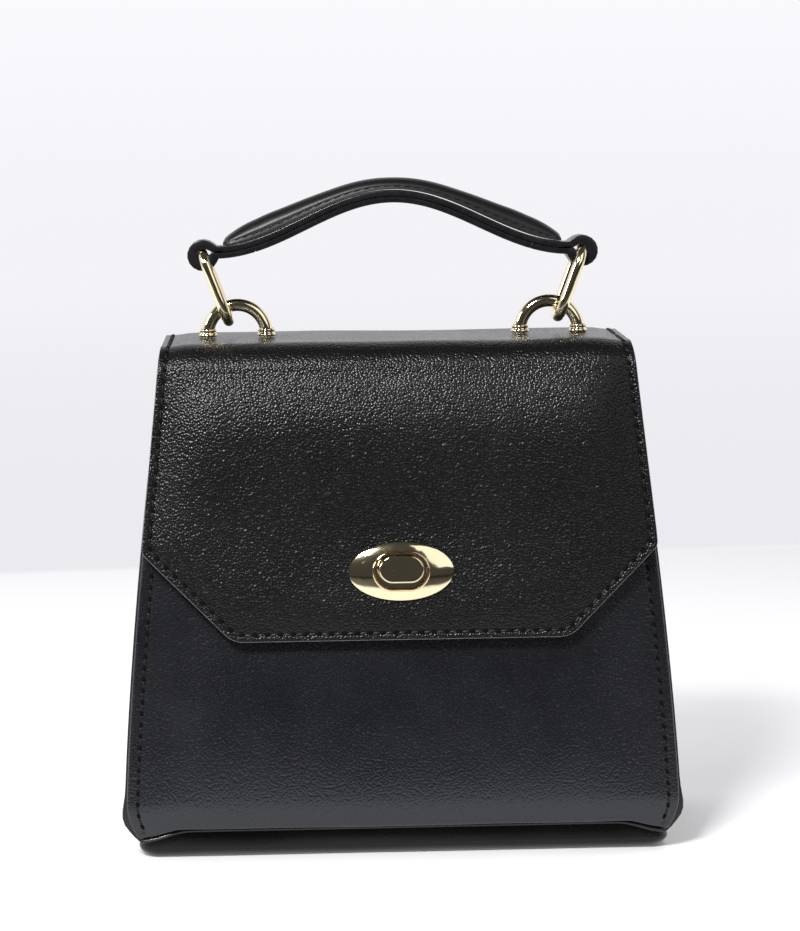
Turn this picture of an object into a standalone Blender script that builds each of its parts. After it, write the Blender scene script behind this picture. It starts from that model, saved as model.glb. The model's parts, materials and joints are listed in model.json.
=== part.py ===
"""A small structured flap bag with one top handle, built as its separate pieces.

The bag stands on z = 0 with its front towards -Y and its width along X. Lengths are in metres.
"""

import math

import bmesh
import bpy
from mathutils import Matrix, Vector

# Body: a trapezoid box that leans in towards the top, front to back and side to side
TOP_HEIGHT = 0.183
PANEL_TOP = 0.1685
SEAM_HEIGHT = 0.0112
BASE_WIDTH = 0.1976
TOP_WIDTH = 0.1690
BASE_DEPTH = 0.0960
TOP_DEPTH = 0.0620
SIDE_CURVE_POWER = 1.4
CORNER_DIP = 0.0055
CORNER_CUT = 0.0042
CORNER_RISE = 0.0125
CORNER_DIP_START_SHARE = 0.55
TURN_UNDER = 0.0014
TURN_UNDER_RISE = 0.0100

# Sheet thicknesses
PANEL_THICK = 0.0026
GUSSET_THICK = 0.0018
LINING_THICK = 0.0008
POCKET_THICK = 0.0012
FLAP_THICK = 0.0024
FLAP_BOARD_THICK = 0.0012
BASE_THICK = 0.0020
BASE_BOARD_THICK = 0.0020
BASE_LINING_THICK = 0.0009

# Running and seating gaps
GAP = 0.0003
SLACK = 0.0006
CUT_OVERRUN = 0.0010
WELD_DISTANCE = 0.00001

# Gussets
FLANGE_WIDTH = 0.0070
FLANGE_PROUD = 0.0015
GUSSET_CREASE = 0.0080
GUSSET_TOP = 0.1665
GUSSET_BINDING_HEIGHT = 0.0030

# Base tray
BASE_TRAY_MARGIN = 0.0009
BASE_TRAY_HEIGHT = 0.0096
BASE_CORNER_RADIUS = 0.0070
BASE_EDGE_RADIUS = 0.0042

# Trims of the body
PIPING_RADIUS = 0.0009
TOP_BINDING_HEIGHT = 0.0024
POCKET_WIDTH = 0.1000
POCKET_LOW = 0.0620
POCKET_HIGH = 0.1350
LINING_LOW = 0.0240
SIDE_LINING_LOW = 0.0140
REAR_BAND_DROP = 0.0320
REAR_BAND_INSET = 0.0040

# Flap
ROLL_RADIUS = 0.0120
FLAP_FOLD_PROUD = 0.0053
FLAP_TOP_WIDTH = 0.1676
FLAP_FOLD_WIDTH = 0.1706
FLAP_CORNER_WIDTH = 0.1834
FLAP_CORNER_HEIGHT = 0.1098
FLAP_EDGE_WIDTH = 0.1196
FLAP_EDGE_HEIGHT = 0.0782
FLAP_SIDE_FILLET = 0.0030
FLAP_LOWER_FILLET = 0.0070
FLAP_LINING_MARGIN = 0.0030
FLAP_BOARD_MARGIN = 0.0050
FLAP_TOP_LINING_MARGIN = 0.0040
TOP_LINING_TURN = math.radians(30)

# Turn lock
LOCK_HEIGHT = 0.1022
ESCUTCHEON_WIDTH = 0.0372
ESCUTCHEON_HEIGHT = 0.0206
ESCUTCHEON_RISE = 0.0027
ESCUTCHEON_RIM = 0.0006
SLOT_WIDTH = 0.0186
SLOT_HEIGHT = 0.0126
SLOT_LIP = 0.0005
SLOT_LIP_RISE = 0.0030
KNOB_WIDTH = 0.0159
KNOB_HEIGHT = 0.0096
KNOB_THICK = 0.0030
KNOB_BEVEL = 0.0005
KNOB_STAND_OFF = 0.0007
SPINDLE_RADIUS = 0.0025
LOCK_PLATE_WIDTH = 0.0300
LOCK_PLATE_HEIGHT = 0.0150
LOCK_PLATE_THICK = 0.0010
RIVET_RADIUS = 0.0010
RIVET_HEAD_RADIUS = 0.0019
RIVET_HEAD_THICK = 0.0005
CLIP_RADIUS = 0.0046
CLIP_THICK = 0.0008
SPINDLE_TAIL = 0.0008
TONGUE_WIDTH = 0.0016
TONGUE_HEIGHT = 0.0007
TONGUE_END_MARGIN = 0.0015
LOCK_CLEARANCE = 0.0002

# Arches on the flap's top
ARCH_SPACING = 0.1140
ARCH_RADIUS = 0.01065
ARCH_WIRE = 0.0023
ARCH_RISE = 0.0118
COLLAR_RADIUS = 0.0032
COLLAR_HEIGHT = 0.0029
WASHER_RADIUS = 0.0045
WASHER_THICK = 0.0008
SCREW_HEAD_RADIUS = 0.0029
SCREW_HEAD_THICK = 0.0015
SCREW_SHANK_RADIUS = 0.0010
SCREW_SHANK_LENGTH = 0.0036

# Handle and rings
LOOP_BORE = 0.0036
LOOP_NECK = 0.0068
STRAP_THICK = 0.0021
STRAP_WIDTH = 0.0130
STRAP_END_RISE = 0.0010
STRAP_BELL = 0.0195
STRAP_FOLD_BACK = 0.0140
COVER_END_MARGIN = 0.0031
COVER_HEIGHT = 0.0066
COVER_THICK = 0.0010
PAD_END_MARGIN = 0.0070
RING_LENGTH = 0.0300
RING_WIDTH = 0.0224
RING_WIRE = 0.0020
RING_PLAY = 0.00053
RING_LEAN = math.radians(20.5)
RING_SEAT_TURN = math.radians(30.5)
RING_OVAL_POWER = 4.0

FRONT = -1
REAR = 1

# Height of the padded cover along its reach, as (share of the reach, share of the height)
COVER_SHARES = (
    (0.00, 0.63),
    (0.33, 0.72),
    (0.50, 0.86),
    (0.68, 1.00),
    (0.84, 0.90),
    (0.94, 0.60),
    (1.00, 0.30),
)

BLACK_LEATHER = ((0.012, 0.012, 0.014), 0.42, 0.0)
BLACK_EDGE = ((0.030, 0.030, 0.033), 0.55, 0.0)
BLACK_BINDING = ((0.022, 0.024, 0.014), 0.60, 0.0)
GOLD_METAL = ((0.83, 0.64, 0.36), 0.16, 1.0)
STEEL_METAL = ((0.56, 0.55, 0.53), 0.32, 1.0)
LINING_CLOTH = ((0.045, 0.042, 0.045), 0.85, 0.0)
FIBRE_BOARD = ((0.23, 0.19, 0.15), 0.90, 0.0)
FOAM = ((0.30, 0.30, 0.30), 0.95, 0.0)


def clear_scene():
    """Empties the file that the script is run in."""
    for item in list(bpy.data.objects):
        bpy.data.objects.remove(item, do_unlink=True)


def new_collection(name):
    group = bpy.data.collections.new(name)
    bpy.context.scene.collection.children.link(group)
    return group


clear_scene()
PARTS = new_collection("flap_bag")
CUTTERS = new_collection("cutters")


def new_material(name, finish):
    """A Principled material from a (colour, roughness, metallic) finish."""
    colour, roughness, metallic = finish
    material = bpy.data.materials.new(name)
    material.use_nodes = True
    shader = material.node_tree.nodes["Principled BSDF"]
    shader.inputs["Base Color"].default_value = (*colour, 1.0)
    shader.inputs["Roughness"].default_value = roughness
    shader.inputs["Metallic"].default_value = metallic
    return material


def finish_part(item, name, finish):
    """Names an object, gives it its own material and files it with the parts."""
    item.name = name
    item.data.name = name
    item.data.materials.clear()
    item.data.materials.append(new_material(name, finish))
    for group in list(item.users_collection):
        group.objects.unlink(item)
    PARTS.objects.link(item)
    return item


def make_cutter(item, name):
    """Hides an object that only cuts others."""
    item.name = name
    item.hide_render = True
    item.display_type = "WIRE"
    for group in list(item.users_collection):
        group.objects.unlink(item)
    CUTTERS.objects.link(item)
    return item


def object_from_bmesh(shape):
    mesh = bpy.data.meshes.new("shape")
    shape.to_mesh(mesh)
    shape.free()
    item = bpy.data.objects.new("shape", mesh)
    bpy.context.scene.collection.objects.link(item)
    return item


def add_solidify(item, thickness):
    """Thickens an open sheet away from its outer face."""
    modifier = item.modifiers.new("thickness", "SOLIDIFY")
    modifier.thickness = thickness
    modifier.offset = -1.0
    modifier.use_even_offset = True
    return modifier


def add_bevel(item, width, segments=1):
    modifier = item.modifiers.new("edges", "BEVEL")
    modifier.width = width
    modifier.segments = segments
    modifier.limit_method = "ANGLE"
    modifier.angle_limit = math.radians(40)
    return modifier


def add_boolean(item, other, operation):
    modifier = item.modifiers.new(operation.lower(), "BOOLEAN")
    modifier.operation = operation
    modifier.object = other
    modifier.solver = "EXACT"
    return modifier


def sheet(rows):
    """An open sheet from rows of points, its outer face on the side that columns x rows points to."""
    shape = bmesh.new()
    grid = [[shape.verts.new(point) for point in row] for row in rows]
    for low, high in zip(grid, grid[1:]):
        for near in range(len(low) - 1):
            shape.faces.new((low[near], low[near + 1], high[near + 1], high[near]))
    return object_from_bmesh(shape)


def loft(sections):
    """A closed body through closed sections of equal point counts."""
    shape = bmesh.new()
    loops = [[shape.verts.new(point) for point in section] for section in sections]
    count = len(loops[0])
    for low, high in zip(loops, loops[1:]):
        for near in range(count):
            far = (near + 1) % count
            shape.faces.new((low[near], low[far], high[far], high[near]))
    shape.faces.new(loops[0])
    shape.faces.new(loops[-1])
    bmesh.ops.recalc_face_normals(shape, faces=shape.faces)
    return object_from_bmesh(shape)


def cylinder(radius, low, high, matrix, sides=20):
    """A cylinder from low to high along the local Z of a frame."""
    shape = bmesh.new()
    bmesh.ops.create_cone(
        shape, cap_ends=True, segments=sides, radius1=radius, radius2=radius, depth=high - low
    )
    bmesh.ops.translate(shape, vec=(0, 0, (low + high) / 2), verts=shape.verts)
    bmesh.ops.transform(shape, matrix=matrix, verts=shape.verts)
    return object_from_bmesh(shape)


def joined(items):
    """One object from several closed bodies."""
    shape = bmesh.new()
    for item in items:
        shape.from_mesh(item.data)
        bpy.data.objects.remove(item, do_unlink=True)
    return object_from_bmesh(shape)


def mesh_from_curve(item):
    """Turns a curve into a welded mesh, so that it can be cut."""
    bpy.context.view_layer.update()
    evaluated = item.evaluated_get(bpy.context.evaluated_depsgraph_get())
    shape = bmesh.new()
    shape.from_mesh(bpy.data.meshes.new_from_object(evaluated))
    bmesh.ops.remove_doubles(shape, verts=shape.verts, dist=WELD_DISTANCE)
    bmesh.ops.recalc_face_normals(shape, faces=shape.faces)
    matrix = item.matrix_world.copy()
    bpy.data.objects.remove(item, do_unlink=True)
    solid = object_from_bmesh(shape)
    solid.matrix_world = matrix
    return solid


def wire(points, radius, closed, resolution=2):
    """A round wire through points."""
    curve = bpy.data.curves.new("wire", "CURVE")
    curve.dimensions = "3D"
    curve.bevel_depth = radius
    curve.bevel_resolution = resolution
    curve.use_fill_caps = True
    spline = curve.splines.new("POLY")
    spline.points.add(len(points) - 1)
    for slot, point in zip(spline.points, points):
        slot.co = (*point, 1.0)
    spline.use_cyclic_u = closed
    item = bpy.data.objects.new("wire", curve)
    bpy.context.scene.collection.objects.link(item)
    return mesh_from_curve(item)


def oblong(width, height, steps=8):
    """Outline of an oblong with half-round ends, about its centre."""
    radius = height / 2
    reach = width / 2 - radius
    points = []
    for side in (1, -1):
        for step in range(steps + 1):
            turn = math.pi * (step / steps - 0.5)
            points.append((side * (reach + radius * math.cos(turn)), side * radius * math.sin(turn)))
    return points


def oval(width, height, steps=32):
    """Outline of an ellipse about its centre."""
    turns = [2 * math.pi * step / steps for step in range(steps)]
    return [(width / 2 * math.cos(turn), height / 2 * math.sin(turn)) for turn in turns]


def turned(levels, matrix, sides):
    """A turned body from (radius, height) levels, bottom first."""
    sections = []
    for radius, height in levels:
        outline = oval(2 * radius, 2 * radius, sides)
        sections.append([matrix @ Vector((x, y, height)) for x, y in outline])
    return loft(sections)


def ring_plate(outer, inner, low, thick, matrix, sides=16):
    """A flat ring: an outer and an inner wall joined above and below."""
    shape = bmesh.new()
    loops = []
    for radius, height in ((outer, low), (outer, low + thick), (inner, low + thick), (inner, low)):
        loops.append(
            [
                shape.verts.new(matrix @ Vector((x, y, height)))
                for x, y in oval(2 * radius, 2 * radius, sides)
            ]
        )
    for index, loop in enumerate(loops):
        following = loops[(index + 1) % len(loops)]
        for near in range(sides):
            far = (near + 1) % sides
            shape.faces.new((loop[near], loop[far], following[far], following[near]))
    bmesh.ops.recalc_face_normals(shape, faces=shape.faces)
    return object_from_bmesh(shape)


def plate(outline, low, high, matrix):
    """A flat plate: an outline between two heights along the local Z of a frame."""
    return loft([[matrix @ Vector((x, y, level)) for x, y in outline] for level in (low, high)])


def side_share(height):
    """How far up the panels a height lies, from 0 at the seam to 1 at their top."""
    return max(0.0, (height - SEAM_HEIGHT) / (PANEL_TOP - SEAM_HEIGHT))


def side_line(height):
    """Half the width of the bag at a height: steep near the base, leaning in above."""
    widest = BASE_WIDTH / 2
    narrowing = widest - TOP_WIDTH / 2
    return widest - narrowing * side_share(height) ** SIDE_CURVE_POWER


def half_width(height):
    """Half the width of the panels, whose lower corners curve in from the side line."""
    low = SEAM_HEIGHT - CORNER_DIP
    cut_share = max(0.0, 1 - (height - low) / CORNER_RISE)
    return side_line(height) - CORNER_CUT * cut_share**2


def half_depth(height):
    """Distance of the panels' outer faces from the middle plane at a height."""
    half = BASE_DEPTH / 2 - (BASE_DEPTH - TOP_DEPTH) / 2 * side_share(height)
    rise = height - SEAM_HEIGHT
    if rise < TURN_UNDER_RISE:
        half -= TURN_UNDER * (1 - max(rise, 0.0) / TURN_UNDER_RISE) ** 2
    return half


def inset_depth(height, inset):
    """Distance from the middle plane of a face that lies inset behind the panels' outer faces."""
    probe = GAP
    slope = (half_depth(height + probe) - half_depth(height)) / probe
    return half_depth(height) - inset * math.sqrt(1 + slope * slope)


def panel_point(height, inset, drop):
    """(depth, height) of a point inset behind a panel's outer face and dropped along the panel."""
    probe = GAP
    slope = (half_depth(height + probe) - half_depth(height)) / probe
    up = Vector((slope, 1)).normalized()
    out = Vector((1, -slope)).normalized()
    return Vector((half_depth(height), height)) - out * inset - up * drop


def seam_line(share):
    """Height of a panel's lower edge, which dips towards its corners."""
    reach = max(0.0, abs(share) - CORNER_DIP_START_SHARE) / (1 - CORNER_DIP_START_SHARE)
    return SEAM_HEIGHT - CORNER_DIP * reach * reach * (3 - 2 * reach)


def spread(low, high, count):
    """Evenly spaced values, both ends included."""
    return [low + (high - low) * step / (count - 1) for step in range(count)]


def leaf(side, low, high, half_span, inset, thickness, rows=9, columns=5):
    """A sheet that follows the front or rear panel at an inset behind its outer face.

    low and half_span are functions: low of the share across, half_span of the height.
    """
    grid = []
    for up in spread(0, 1, rows):
        row = []
        for share in spread(-1, 1, columns):
            height = low(share) + (high - low(share)) * up
            across = -side * share * half_span(height)
            row.append((across, side * inset_depth(height, inset), height))
        grid.append(row)
    item = sheet(grid)
    add_solidify(item, thickness)
    return item


def level(height):
    """A lower edge at one height all across."""
    return lambda share: height


def panel_frame(side, height, lean):
    """Local frame on a leaning face: X across, Y up the slope, Z out of the face."""
    out = Vector((0, side * math.cos(lean), math.sin(lean)))
    across = Vector((-side, 0, 0))
    up = out.cross(across)
    depth = side * half_depth(height)
    frame = Matrix((across, up, out)).transposed().to_4x4()
    frame.translation = Vector((0, depth, height))
    return frame


PANEL_LEAN = math.atan2((BASE_DEPTH - TOP_DEPTH) / 2, PANEL_TOP - SEAM_HEIGHT)

# The lock's stack behind the front panel, inwards from the panel's outer face
LINING_INSET = PANEL_THICK + GAP
LINING_BACK = LINING_INSET + LINING_THICK
BACK_PLATE_FRONT = LINING_BACK + GAP
BACK_PLATE_BACK = BACK_PLATE_FRONT + LOCK_PLATE_THICK
TONGUE_SPACING = LOCK_PLATE_WIDTH - 2 * TONGUE_END_MARGIN
RIVET_SPACING = TONGUE_SPACING - 2 * (RIVET_HEAD_RADIUS + TONGUE_WIDTH / 2 + GAP)
LOCK_FRAME = panel_frame(FRONT, LOCK_HEIGHT, PANEL_LEAN)
SPINDLE_HOLE = SPINDLE_RADIUS + GAP
RIVET_HOLE = RIVET_RADIUS + GAP


def lock_cutters():
    """Holes for the spindle and the two rivets through the front of the body."""
    low = -BACK_PLATE_BACK - CUT_OVERRUN
    high = LOCK_PLATE_THICK + GAP + CUT_OVERRUN
    holes = [cylinder(SPINDLE_HOLE, low, high, LOCK_FRAME)]
    for side in (-1, 1):
        place = LOCK_FRAME @ Matrix.Translation((side * RIVET_SPACING / 2, 0, 0))
        holes.append(cylinder(RIVET_HOLE, low, high, place, sides=12))
    return make_cutter(joined(holes), "lock_holes")


LOCK_HOLES = lock_cutters()


PANEL_COLUMNS = 17


def build_panels():
    """Front and rear panels, their curved side edges and dipped lower corners."""
    front = leaf(FRONT, seam_line, PANEL_TOP, half_width, 0, PANEL_THICK, 12, PANEL_COLUMNS)
    add_boolean(front, LOCK_HOLES, "DIFFERENCE")
    finish_part(front, "front_panel", BLACK_LEATHER)
    rear = leaf(REAR, seam_line, PANEL_TOP, half_width, 0, PANEL_THICK, 12, PANEL_COLUMNS)
    finish_part(rear, "rear_panel", BLACK_LEATHER)


def web_line(height):
    """Distance of a gusset's inner face from the middle, beside the panels."""
    return side_line(height) - FLANGE_WIDTH


def crease_depth(height, across):
    """How far a gusset folds in at a height, most at the top and along its middle line."""
    span = inset_depth(height, PANEL_THICK + GAP)
    return GUSSET_CREASE * side_share(height) ** SIDE_CURVE_POWER * (1 - abs(across) / span)


def creased_points(side, height, web, depth, tip=None):
    """Points across a gusset or its lining, front to rear for the right side."""
    half = [(web - crease_depth(height, y), -y) for y in (depth, depth / 2)]
    if tip is not None:
        half = [(tip, -depth)] + half
    middle = (web - crease_depth(height, 0), 0)
    points = half + [middle] + [(x, -y) for x, y in reversed(half)]
    points = [(side * x, y, height) for x, y in points]
    return points if side > 0 else points[::-1]


GUSSET_STATIONS = 10
GUSSET_FOOT = BASE_TRAY_HEIGHT + GAP


def gusset_section(side, height):
    """Points of a gusset's outer face at a height, from one flange's tip to the other's."""
    depth = inset_depth(height, PANEL_THICK + GAP) - GUSSET_THICK
    tip = side_line(height) + FLANGE_PROUD
    return creased_points(side, height, web_line(height) + GUSSET_THICK, depth, tip)


def build_gussets():
    """Side gussets: a creased web with a flange turned out behind each panel's margin."""
    for side, word in ((-1, "left"), (1, "right")):
        heights = spread(GUSSET_FOOT, GUSSET_TOP, GUSSET_STATIONS)
        rows = [gusset_section(side, height) for height in heights]
        gusset = sheet(rows)
        add_solidify(gusset, GUSSET_THICK)
        finish_part(gusset, word + "_gusset", BLACK_LEATHER)

        low = GUSSET_TOP + GAP
        high = low + GUSSET_BINDING_HEIGHT
        rows = [gusset_section(side, height) for height in (low, high)]
        binding = sheet(rows)
        add_solidify(binding, GUSSET_THICK)
        finish_part(binding, word + "_gusset_binding", BLACK_BINDING)


BASE_TRAY_WIDTH = 2 * (web_line(SEAM_HEIGHT) + GUSSET_THICK + BASE_TRAY_MARGIN)
BASE_TRAY_DEPTH = 2 * (half_depth(SEAM_HEIGHT) - PANEL_THICK - SLACK)


def tray_shape(width, depth, height, corner, edge):
    """A box on the floor with rounded upright corners and a rounded lower edge."""
    shape = bmesh.new()
    bmesh.ops.create_cube(shape, size=1)
    bmesh.ops.scale(shape, vec=(width, depth, height), verts=shape.verts)
    bmesh.ops.translate(shape, vec=(0, 0, height / 2), verts=shape.verts)
    upright = [e for e in shape.edges if abs(e.verts[0].co.z - e.verts[1].co.z) > height / 2]
    bmesh.ops.bevel(shape, geom=upright, offset=corner, segments=4, profile=0.5, affect="EDGES")
    if edge:
        low = [e for e in shape.edges if max(v.co.z for v in e.verts) < height / 2]
        bmesh.ops.bevel(shape, geom=low, offset=edge, segments=3, profile=0.5, affect="EDGES")
    return shape


def build_base():
    """Base tray of leather, the stiffening board in it and the lining over the board."""
    shape = tray_shape(
        BASE_TRAY_WIDTH, BASE_TRAY_DEPTH, BASE_TRAY_HEIGHT, BASE_CORNER_RADIUS, BASE_EDGE_RADIUS
    )
    top = [f for f in shape.faces if f.calc_center_median().z > BASE_TRAY_HEIGHT - GAP]
    bmesh.ops.delete(shape, geom=top, context="FACES")
    tray = object_from_bmesh(shape)
    add_solidify(tray, BASE_THICK)
    finish_part(tray, "base_panel", BLACK_LEATHER)

    inset = 2 * (BASE_THICK + GAP)
    corner = BASE_CORNER_RADIUS - BASE_THICK
    board_low = BASE_THICK + GAP
    lining_low = board_low + BASE_BOARD_THICK + GAP
    layers = (
        ("base_board", board_low, BASE_BOARD_THICK, BASE_EDGE_RADIUS - BASE_THICK, FIBRE_BOARD),
        ("base_lining", lining_low, BASE_LINING_THICK, 0, LINING_CLOTH),
    )
    for name, low, thick, margin, finish in layers:
        width = BASE_TRAY_WIDTH - inset - 2 * margin
        depth = BASE_TRAY_DEPTH - inset - 2 * margin
        layer = tray_shape(width, depth, thick, corner, 0)
        bmesh.ops.translate(layer, vec=(0, 0, low), verts=layer.verts)
        finish_part(object_from_bmesh(layer), name, finish)


def lining_span(height):
    """Half the width between the gussets' linings."""
    return web_line(height) - 2 * SLACK - LINING_THICK


def side_lining_section(side, height):
    """Points of a side lining's outer face at a height, between the front and rear linings."""
    depth = inset_depth(height, LINING_BACK) - SLACK
    return creased_points(side, height, web_line(height) - SLACK, depth)


def build_linings():
    """Cloth linings of the four walls, and the slip pocket on the rear one."""
    front = leaf(FRONT, level(LINING_LOW), PANEL_TOP, lining_span, LINING_INSET, LINING_THICK)
    add_boolean(front, LOCK_HOLES, "DIFFERENCE")
    finish_part(front, "front_lining", LINING_CLOTH)
    rear = leaf(REAR, level(LINING_LOW), PANEL_TOP, lining_span, LINING_INSET, LINING_THICK)
    finish_part(rear, "rear_lining", LINING_CLOTH)

    for side, word in ((-1, "left"), (1, "right")):
        heights = spread(SIDE_LINING_LOW, GUSSET_TOP, GUSSET_STATIONS)
        lining = sheet([side_lining_section(side, height) for height in heights])
        add_solidify(lining, LINING_THICK)
        finish_part(lining, word + "_lining", LINING_CLOTH)

    pocket = leaf(
        REAR,
        level(POCKET_LOW),
        POCKET_HIGH,
        lambda height: POCKET_WIDTH / 2,
        LINING_BACK + GAP,
        POCKET_THICK,
        rows=2,
        columns=2,
    )
    finish_part(pocket, "slip_pocket", LINING_CLOTH)


def build_trims():
    """Piping under the panels' lower edges, the binding along the front panel's top."""
    drop = GAP + PIPING_RADIUS
    for side, word in ((FRONT, "front"), (REAR, "rear")):
        points = []
        for share in spread(-1, 1, PANEL_COLUMNS):
            seam = seam_line(share)
            across = share * (half_width(seam) - PIPING_RADIUS)
            depth, height = panel_point(seam, PANEL_THICK / 2, drop)
            points.append((across, side * depth, height))
        finish_part(wire(points, PIPING_RADIUS, closed=False), word + "_piping", BLACK_EDGE)

    thick = LINING_BACK
    low = PANEL_TOP + GAP + thick * math.sin(PANEL_LEAN)
    binding = leaf(
        FRONT, level(low), low + TOP_BINDING_HEIGHT, lining_span, 0, thick, rows=2, columns=2
    )
    finish_part(binding, "front_top_binding", BLACK_LEATHER)


FOLD_HEIGHT = TOP_HEIGHT - ROLL_RADIUS
FLAP_FRONT_DEPTH = half_depth(FOLD_HEIGHT) + FLAP_FOLD_PROUD
REAR_DEPTH = half_depth(FOLD_HEIGHT) + GAP + FLAP_THICK


def build_rear_band():
    """The flap's sewn end on the rear panel, which its hinge line runs along."""
    high = FOLD_HEIGHT - GAP
    low = high - REAR_BAND_DROP
    band = leaf(
        REAR,
        level(low),
        high,
        lambda height: FLAP_TOP_WIDTH / 2 - REAR_BAND_INSET * (high - height) / REAR_BAND_DROP,
        -(GAP + FLAP_THICK),
        FLAP_THICK,
        rows=3,
        columns=2,
    )
    finish_part(band, "rear_hinge_band", BLACK_LEATHER)


def flap_profile(inset, front_turn, rear_turn, steps=6):
    """Side profile over the flap's top, front to rear, as (depth, height) at an inset."""
    radius = ROLL_RADIUS - inset
    points = []
    for step in range(steps + 1):
        turn = front_turn * (1 - step / steps)
        points.append(
            (
                ROLL_RADIUS - FLAP_FRONT_DEPTH - radius * math.sin(turn),
                FOLD_HEIGHT + radius * math.cos(turn),
            )
        )
    for step in range(steps + 1):
        turn = rear_turn * step / steps
        points.append(
            (
                REAR_DEPTH - ROLL_RADIUS + radius * math.sin(turn),
                FOLD_HEIGHT + radius * math.cos(turn),
            )
        )
    return points


def flap_top_half(height, margin):
    """Half the flap's width on its top and round its rolls."""
    share = (TOP_HEIGHT - height) / ROLL_RADIUS
    return (FLAP_TOP_WIDTH + (FLAP_FOLD_WIDTH - FLAP_TOP_WIDTH) * share) / 2 - margin


def top_sheet(inset, thickness, margin, front_turn, rear_turn):
    rows = []
    for depth, height in flap_profile(inset, front_turn, rear_turn):
        half = flap_top_half(height, margin)
        rows.append([(-half, depth, height), (half, depth, height)])
    item = sheet(rows)
    add_solidify(item, thickness)
    return item


ARCH_FEET = {
    "left_outer": -ARCH_SPACING / 2 - ARCH_RADIUS,
    "left_inner": -ARCH_SPACING / 2 + ARCH_RADIUS,
    "right_inner": ARCH_SPACING / 2 - ARCH_RADIUS,
    "right_outer": ARCH_SPACING / 2 + ARCH_RADIUS,
}
TOP_LINING_INSET = FLAP_THICK + GAP + FLAP_BOARD_THICK + GAP
LEG_END = TOP_HEIGHT - TOP_LINING_INSET - LINING_THICK - GAP
FOOT_HOLE = ARCH_WIRE + GAP


def build_flap_top():
    """The flap's top with its two rolls, its board and its lining, pierced for the arches' feet."""
    holes = []
    for x in ARCH_FEET.values():
        place = Matrix.Translation((x, 0, 0))
        holes.append(cylinder(FOOT_HOLE, LEG_END, TOP_HEIGHT + CUT_OVERRUN, place, sides=16))
    cutter = make_cutter(joined(holes), "foot_holes")
    right_angle = math.pi / 2
    leather = top_sheet(0, FLAP_THICK, 0, right_angle, right_angle)
    add_boolean(leather, cutter, "DIFFERENCE")
    finish_part(leather, "flap_top_leather", BLACK_LEATHER)
    board = top_sheet(FLAP_THICK + GAP, FLAP_BOARD_THICK, FLAP_BOARD_MARGIN, 0, 0)
    add_boolean(board, cutter, "DIFFERENCE")
    finish_part(board, "flap_top_board", FIBRE_BOARD)
    turn = TOP_LINING_TURN
    lining = top_sheet(TOP_LINING_INSET, LINING_THICK, FLAP_TOP_LINING_MARGIN, turn, turn)
    add_boolean(lining, cutter, "DIFFERENCE")
    finish_part(lining, "flap_top_lining", LINING_CLOTH)


# The lock's stack between the front panel and the flap's outer face sets how far the flap leans
FLAP_LINING_BACK = FLAP_THICK + GAP + LINING_THICK
FLAP_PLATE_BACK = FLAP_LINING_BACK + GAP + LOCK_PLATE_THICK
LOCK_STACK = GAP + LOCK_PLATE_THICK + GAP + RIVET_HEAD_THICK + LOCK_CLEARANCE + FLAP_PLATE_BACK
LOCK_REACH = half_depth(LOCK_HEIGHT) + LOCK_STACK / math.cos(PANEL_LEAN)
FLAP_DROP = FOLD_HEIGHT - FLAP_EDGE_HEIGHT
FLAP_LEAN = math.atan2(LOCK_REACH - FLAP_FRONT_DEPTH, FOLD_HEIGHT - LOCK_HEIGHT)


def flap_frame():
    """Local frame on the flap's front: origin on the fold line, Y up the slope, Z outwards."""
    out = Vector((0, -math.cos(FLAP_LEAN), math.sin(FLAP_LEAN)))
    across = Vector((1, 0, 0))
    frame = Matrix((across, out.cross(across), out)).transposed().to_4x4()
    frame.translation = Vector((0, -FLAP_FRONT_DEPTH, FOLD_HEIGHT))
    return frame


FLAP_FRAME = flap_frame()


def fillet_outline(corners, steps=5):
    """A closed outline whose corners, given as (x, y, radius), are rounded by arcs."""
    points = []
    count = len(corners)
    for index, (x, y, radius) in enumerate(corners):
        here = Vector((x, y))
        before = Vector(corners[index - 1][:2]) - here
        after = Vector(corners[(index + 1) % count][:2]) - here
        if radius == 0:
            points.append(here)
            continue
        half_angle = before.angle(after) / 2
        middle = here + (before.normalized() + after.normalized()).normalized() * (
            radius / math.sin(half_angle)
        )
        reach = radius / math.tan(half_angle)
        start = here + before.normalized() * reach - middle
        end = here + after.normalized() * reach - middle
        for step in range(steps + 1):
            points.append(middle + start.slerp(end, step / steps).normalized() * radius)
    return [(point.x, point.y) for point in points]


def flap_outline(top, margin):
    """The flap's front in its own frame: upright sides, cut lower corners, a straight lower edge."""
    slope = math.cos(FLAP_LEAN)
    corner = -(FOLD_HEIGHT - FLAP_CORNER_HEIGHT) / slope
    edge = -FLAP_DROP / slope + margin
    half_corner = FLAP_CORNER_WIDTH / 2 - margin
    half_edge = FLAP_EDGE_WIDTH / 2 - margin * math.tan(math.pi / 8)
    half_top = FLAP_FOLD_WIDTH / 2 - margin
    corners = [
        (-half_top, top, 0),
        (-half_corner, corner, FLAP_SIDE_FILLET),
        (-half_edge, edge, FLAP_LOWER_FILLET),
        (half_edge, edge, FLAP_LOWER_FILLET),
        (half_corner, corner, FLAP_SIDE_FILLET),
        (half_top, top, 0),
    ]
    return fillet_outline(corners)


def lock_on_flap():
    """Frame on the flap's front where the escutcheon sits."""
    up = (LOCK_HEIGHT - FOLD_HEIGHT) / math.cos(FLAP_LEAN)
    return FLAP_FRAME @ Matrix.Translation((0, up, 0))


ESCUTCHEON_FRAME = lock_on_flap()


def tongue_frames():
    return [
        ESCUTCHEON_FRAME @ Matrix.Translation((side * TONGUE_SPACING / 2, 0, 0))
        for side in (-1, 1)
    ]


def tongue_outline(clearance):
    width = TONGUE_WIDTH / 2 + clearance
    height = TONGUE_HEIGHT + clearance
    return [(-width, -height), (width, -height), (width, height), (-width, height)]


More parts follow.
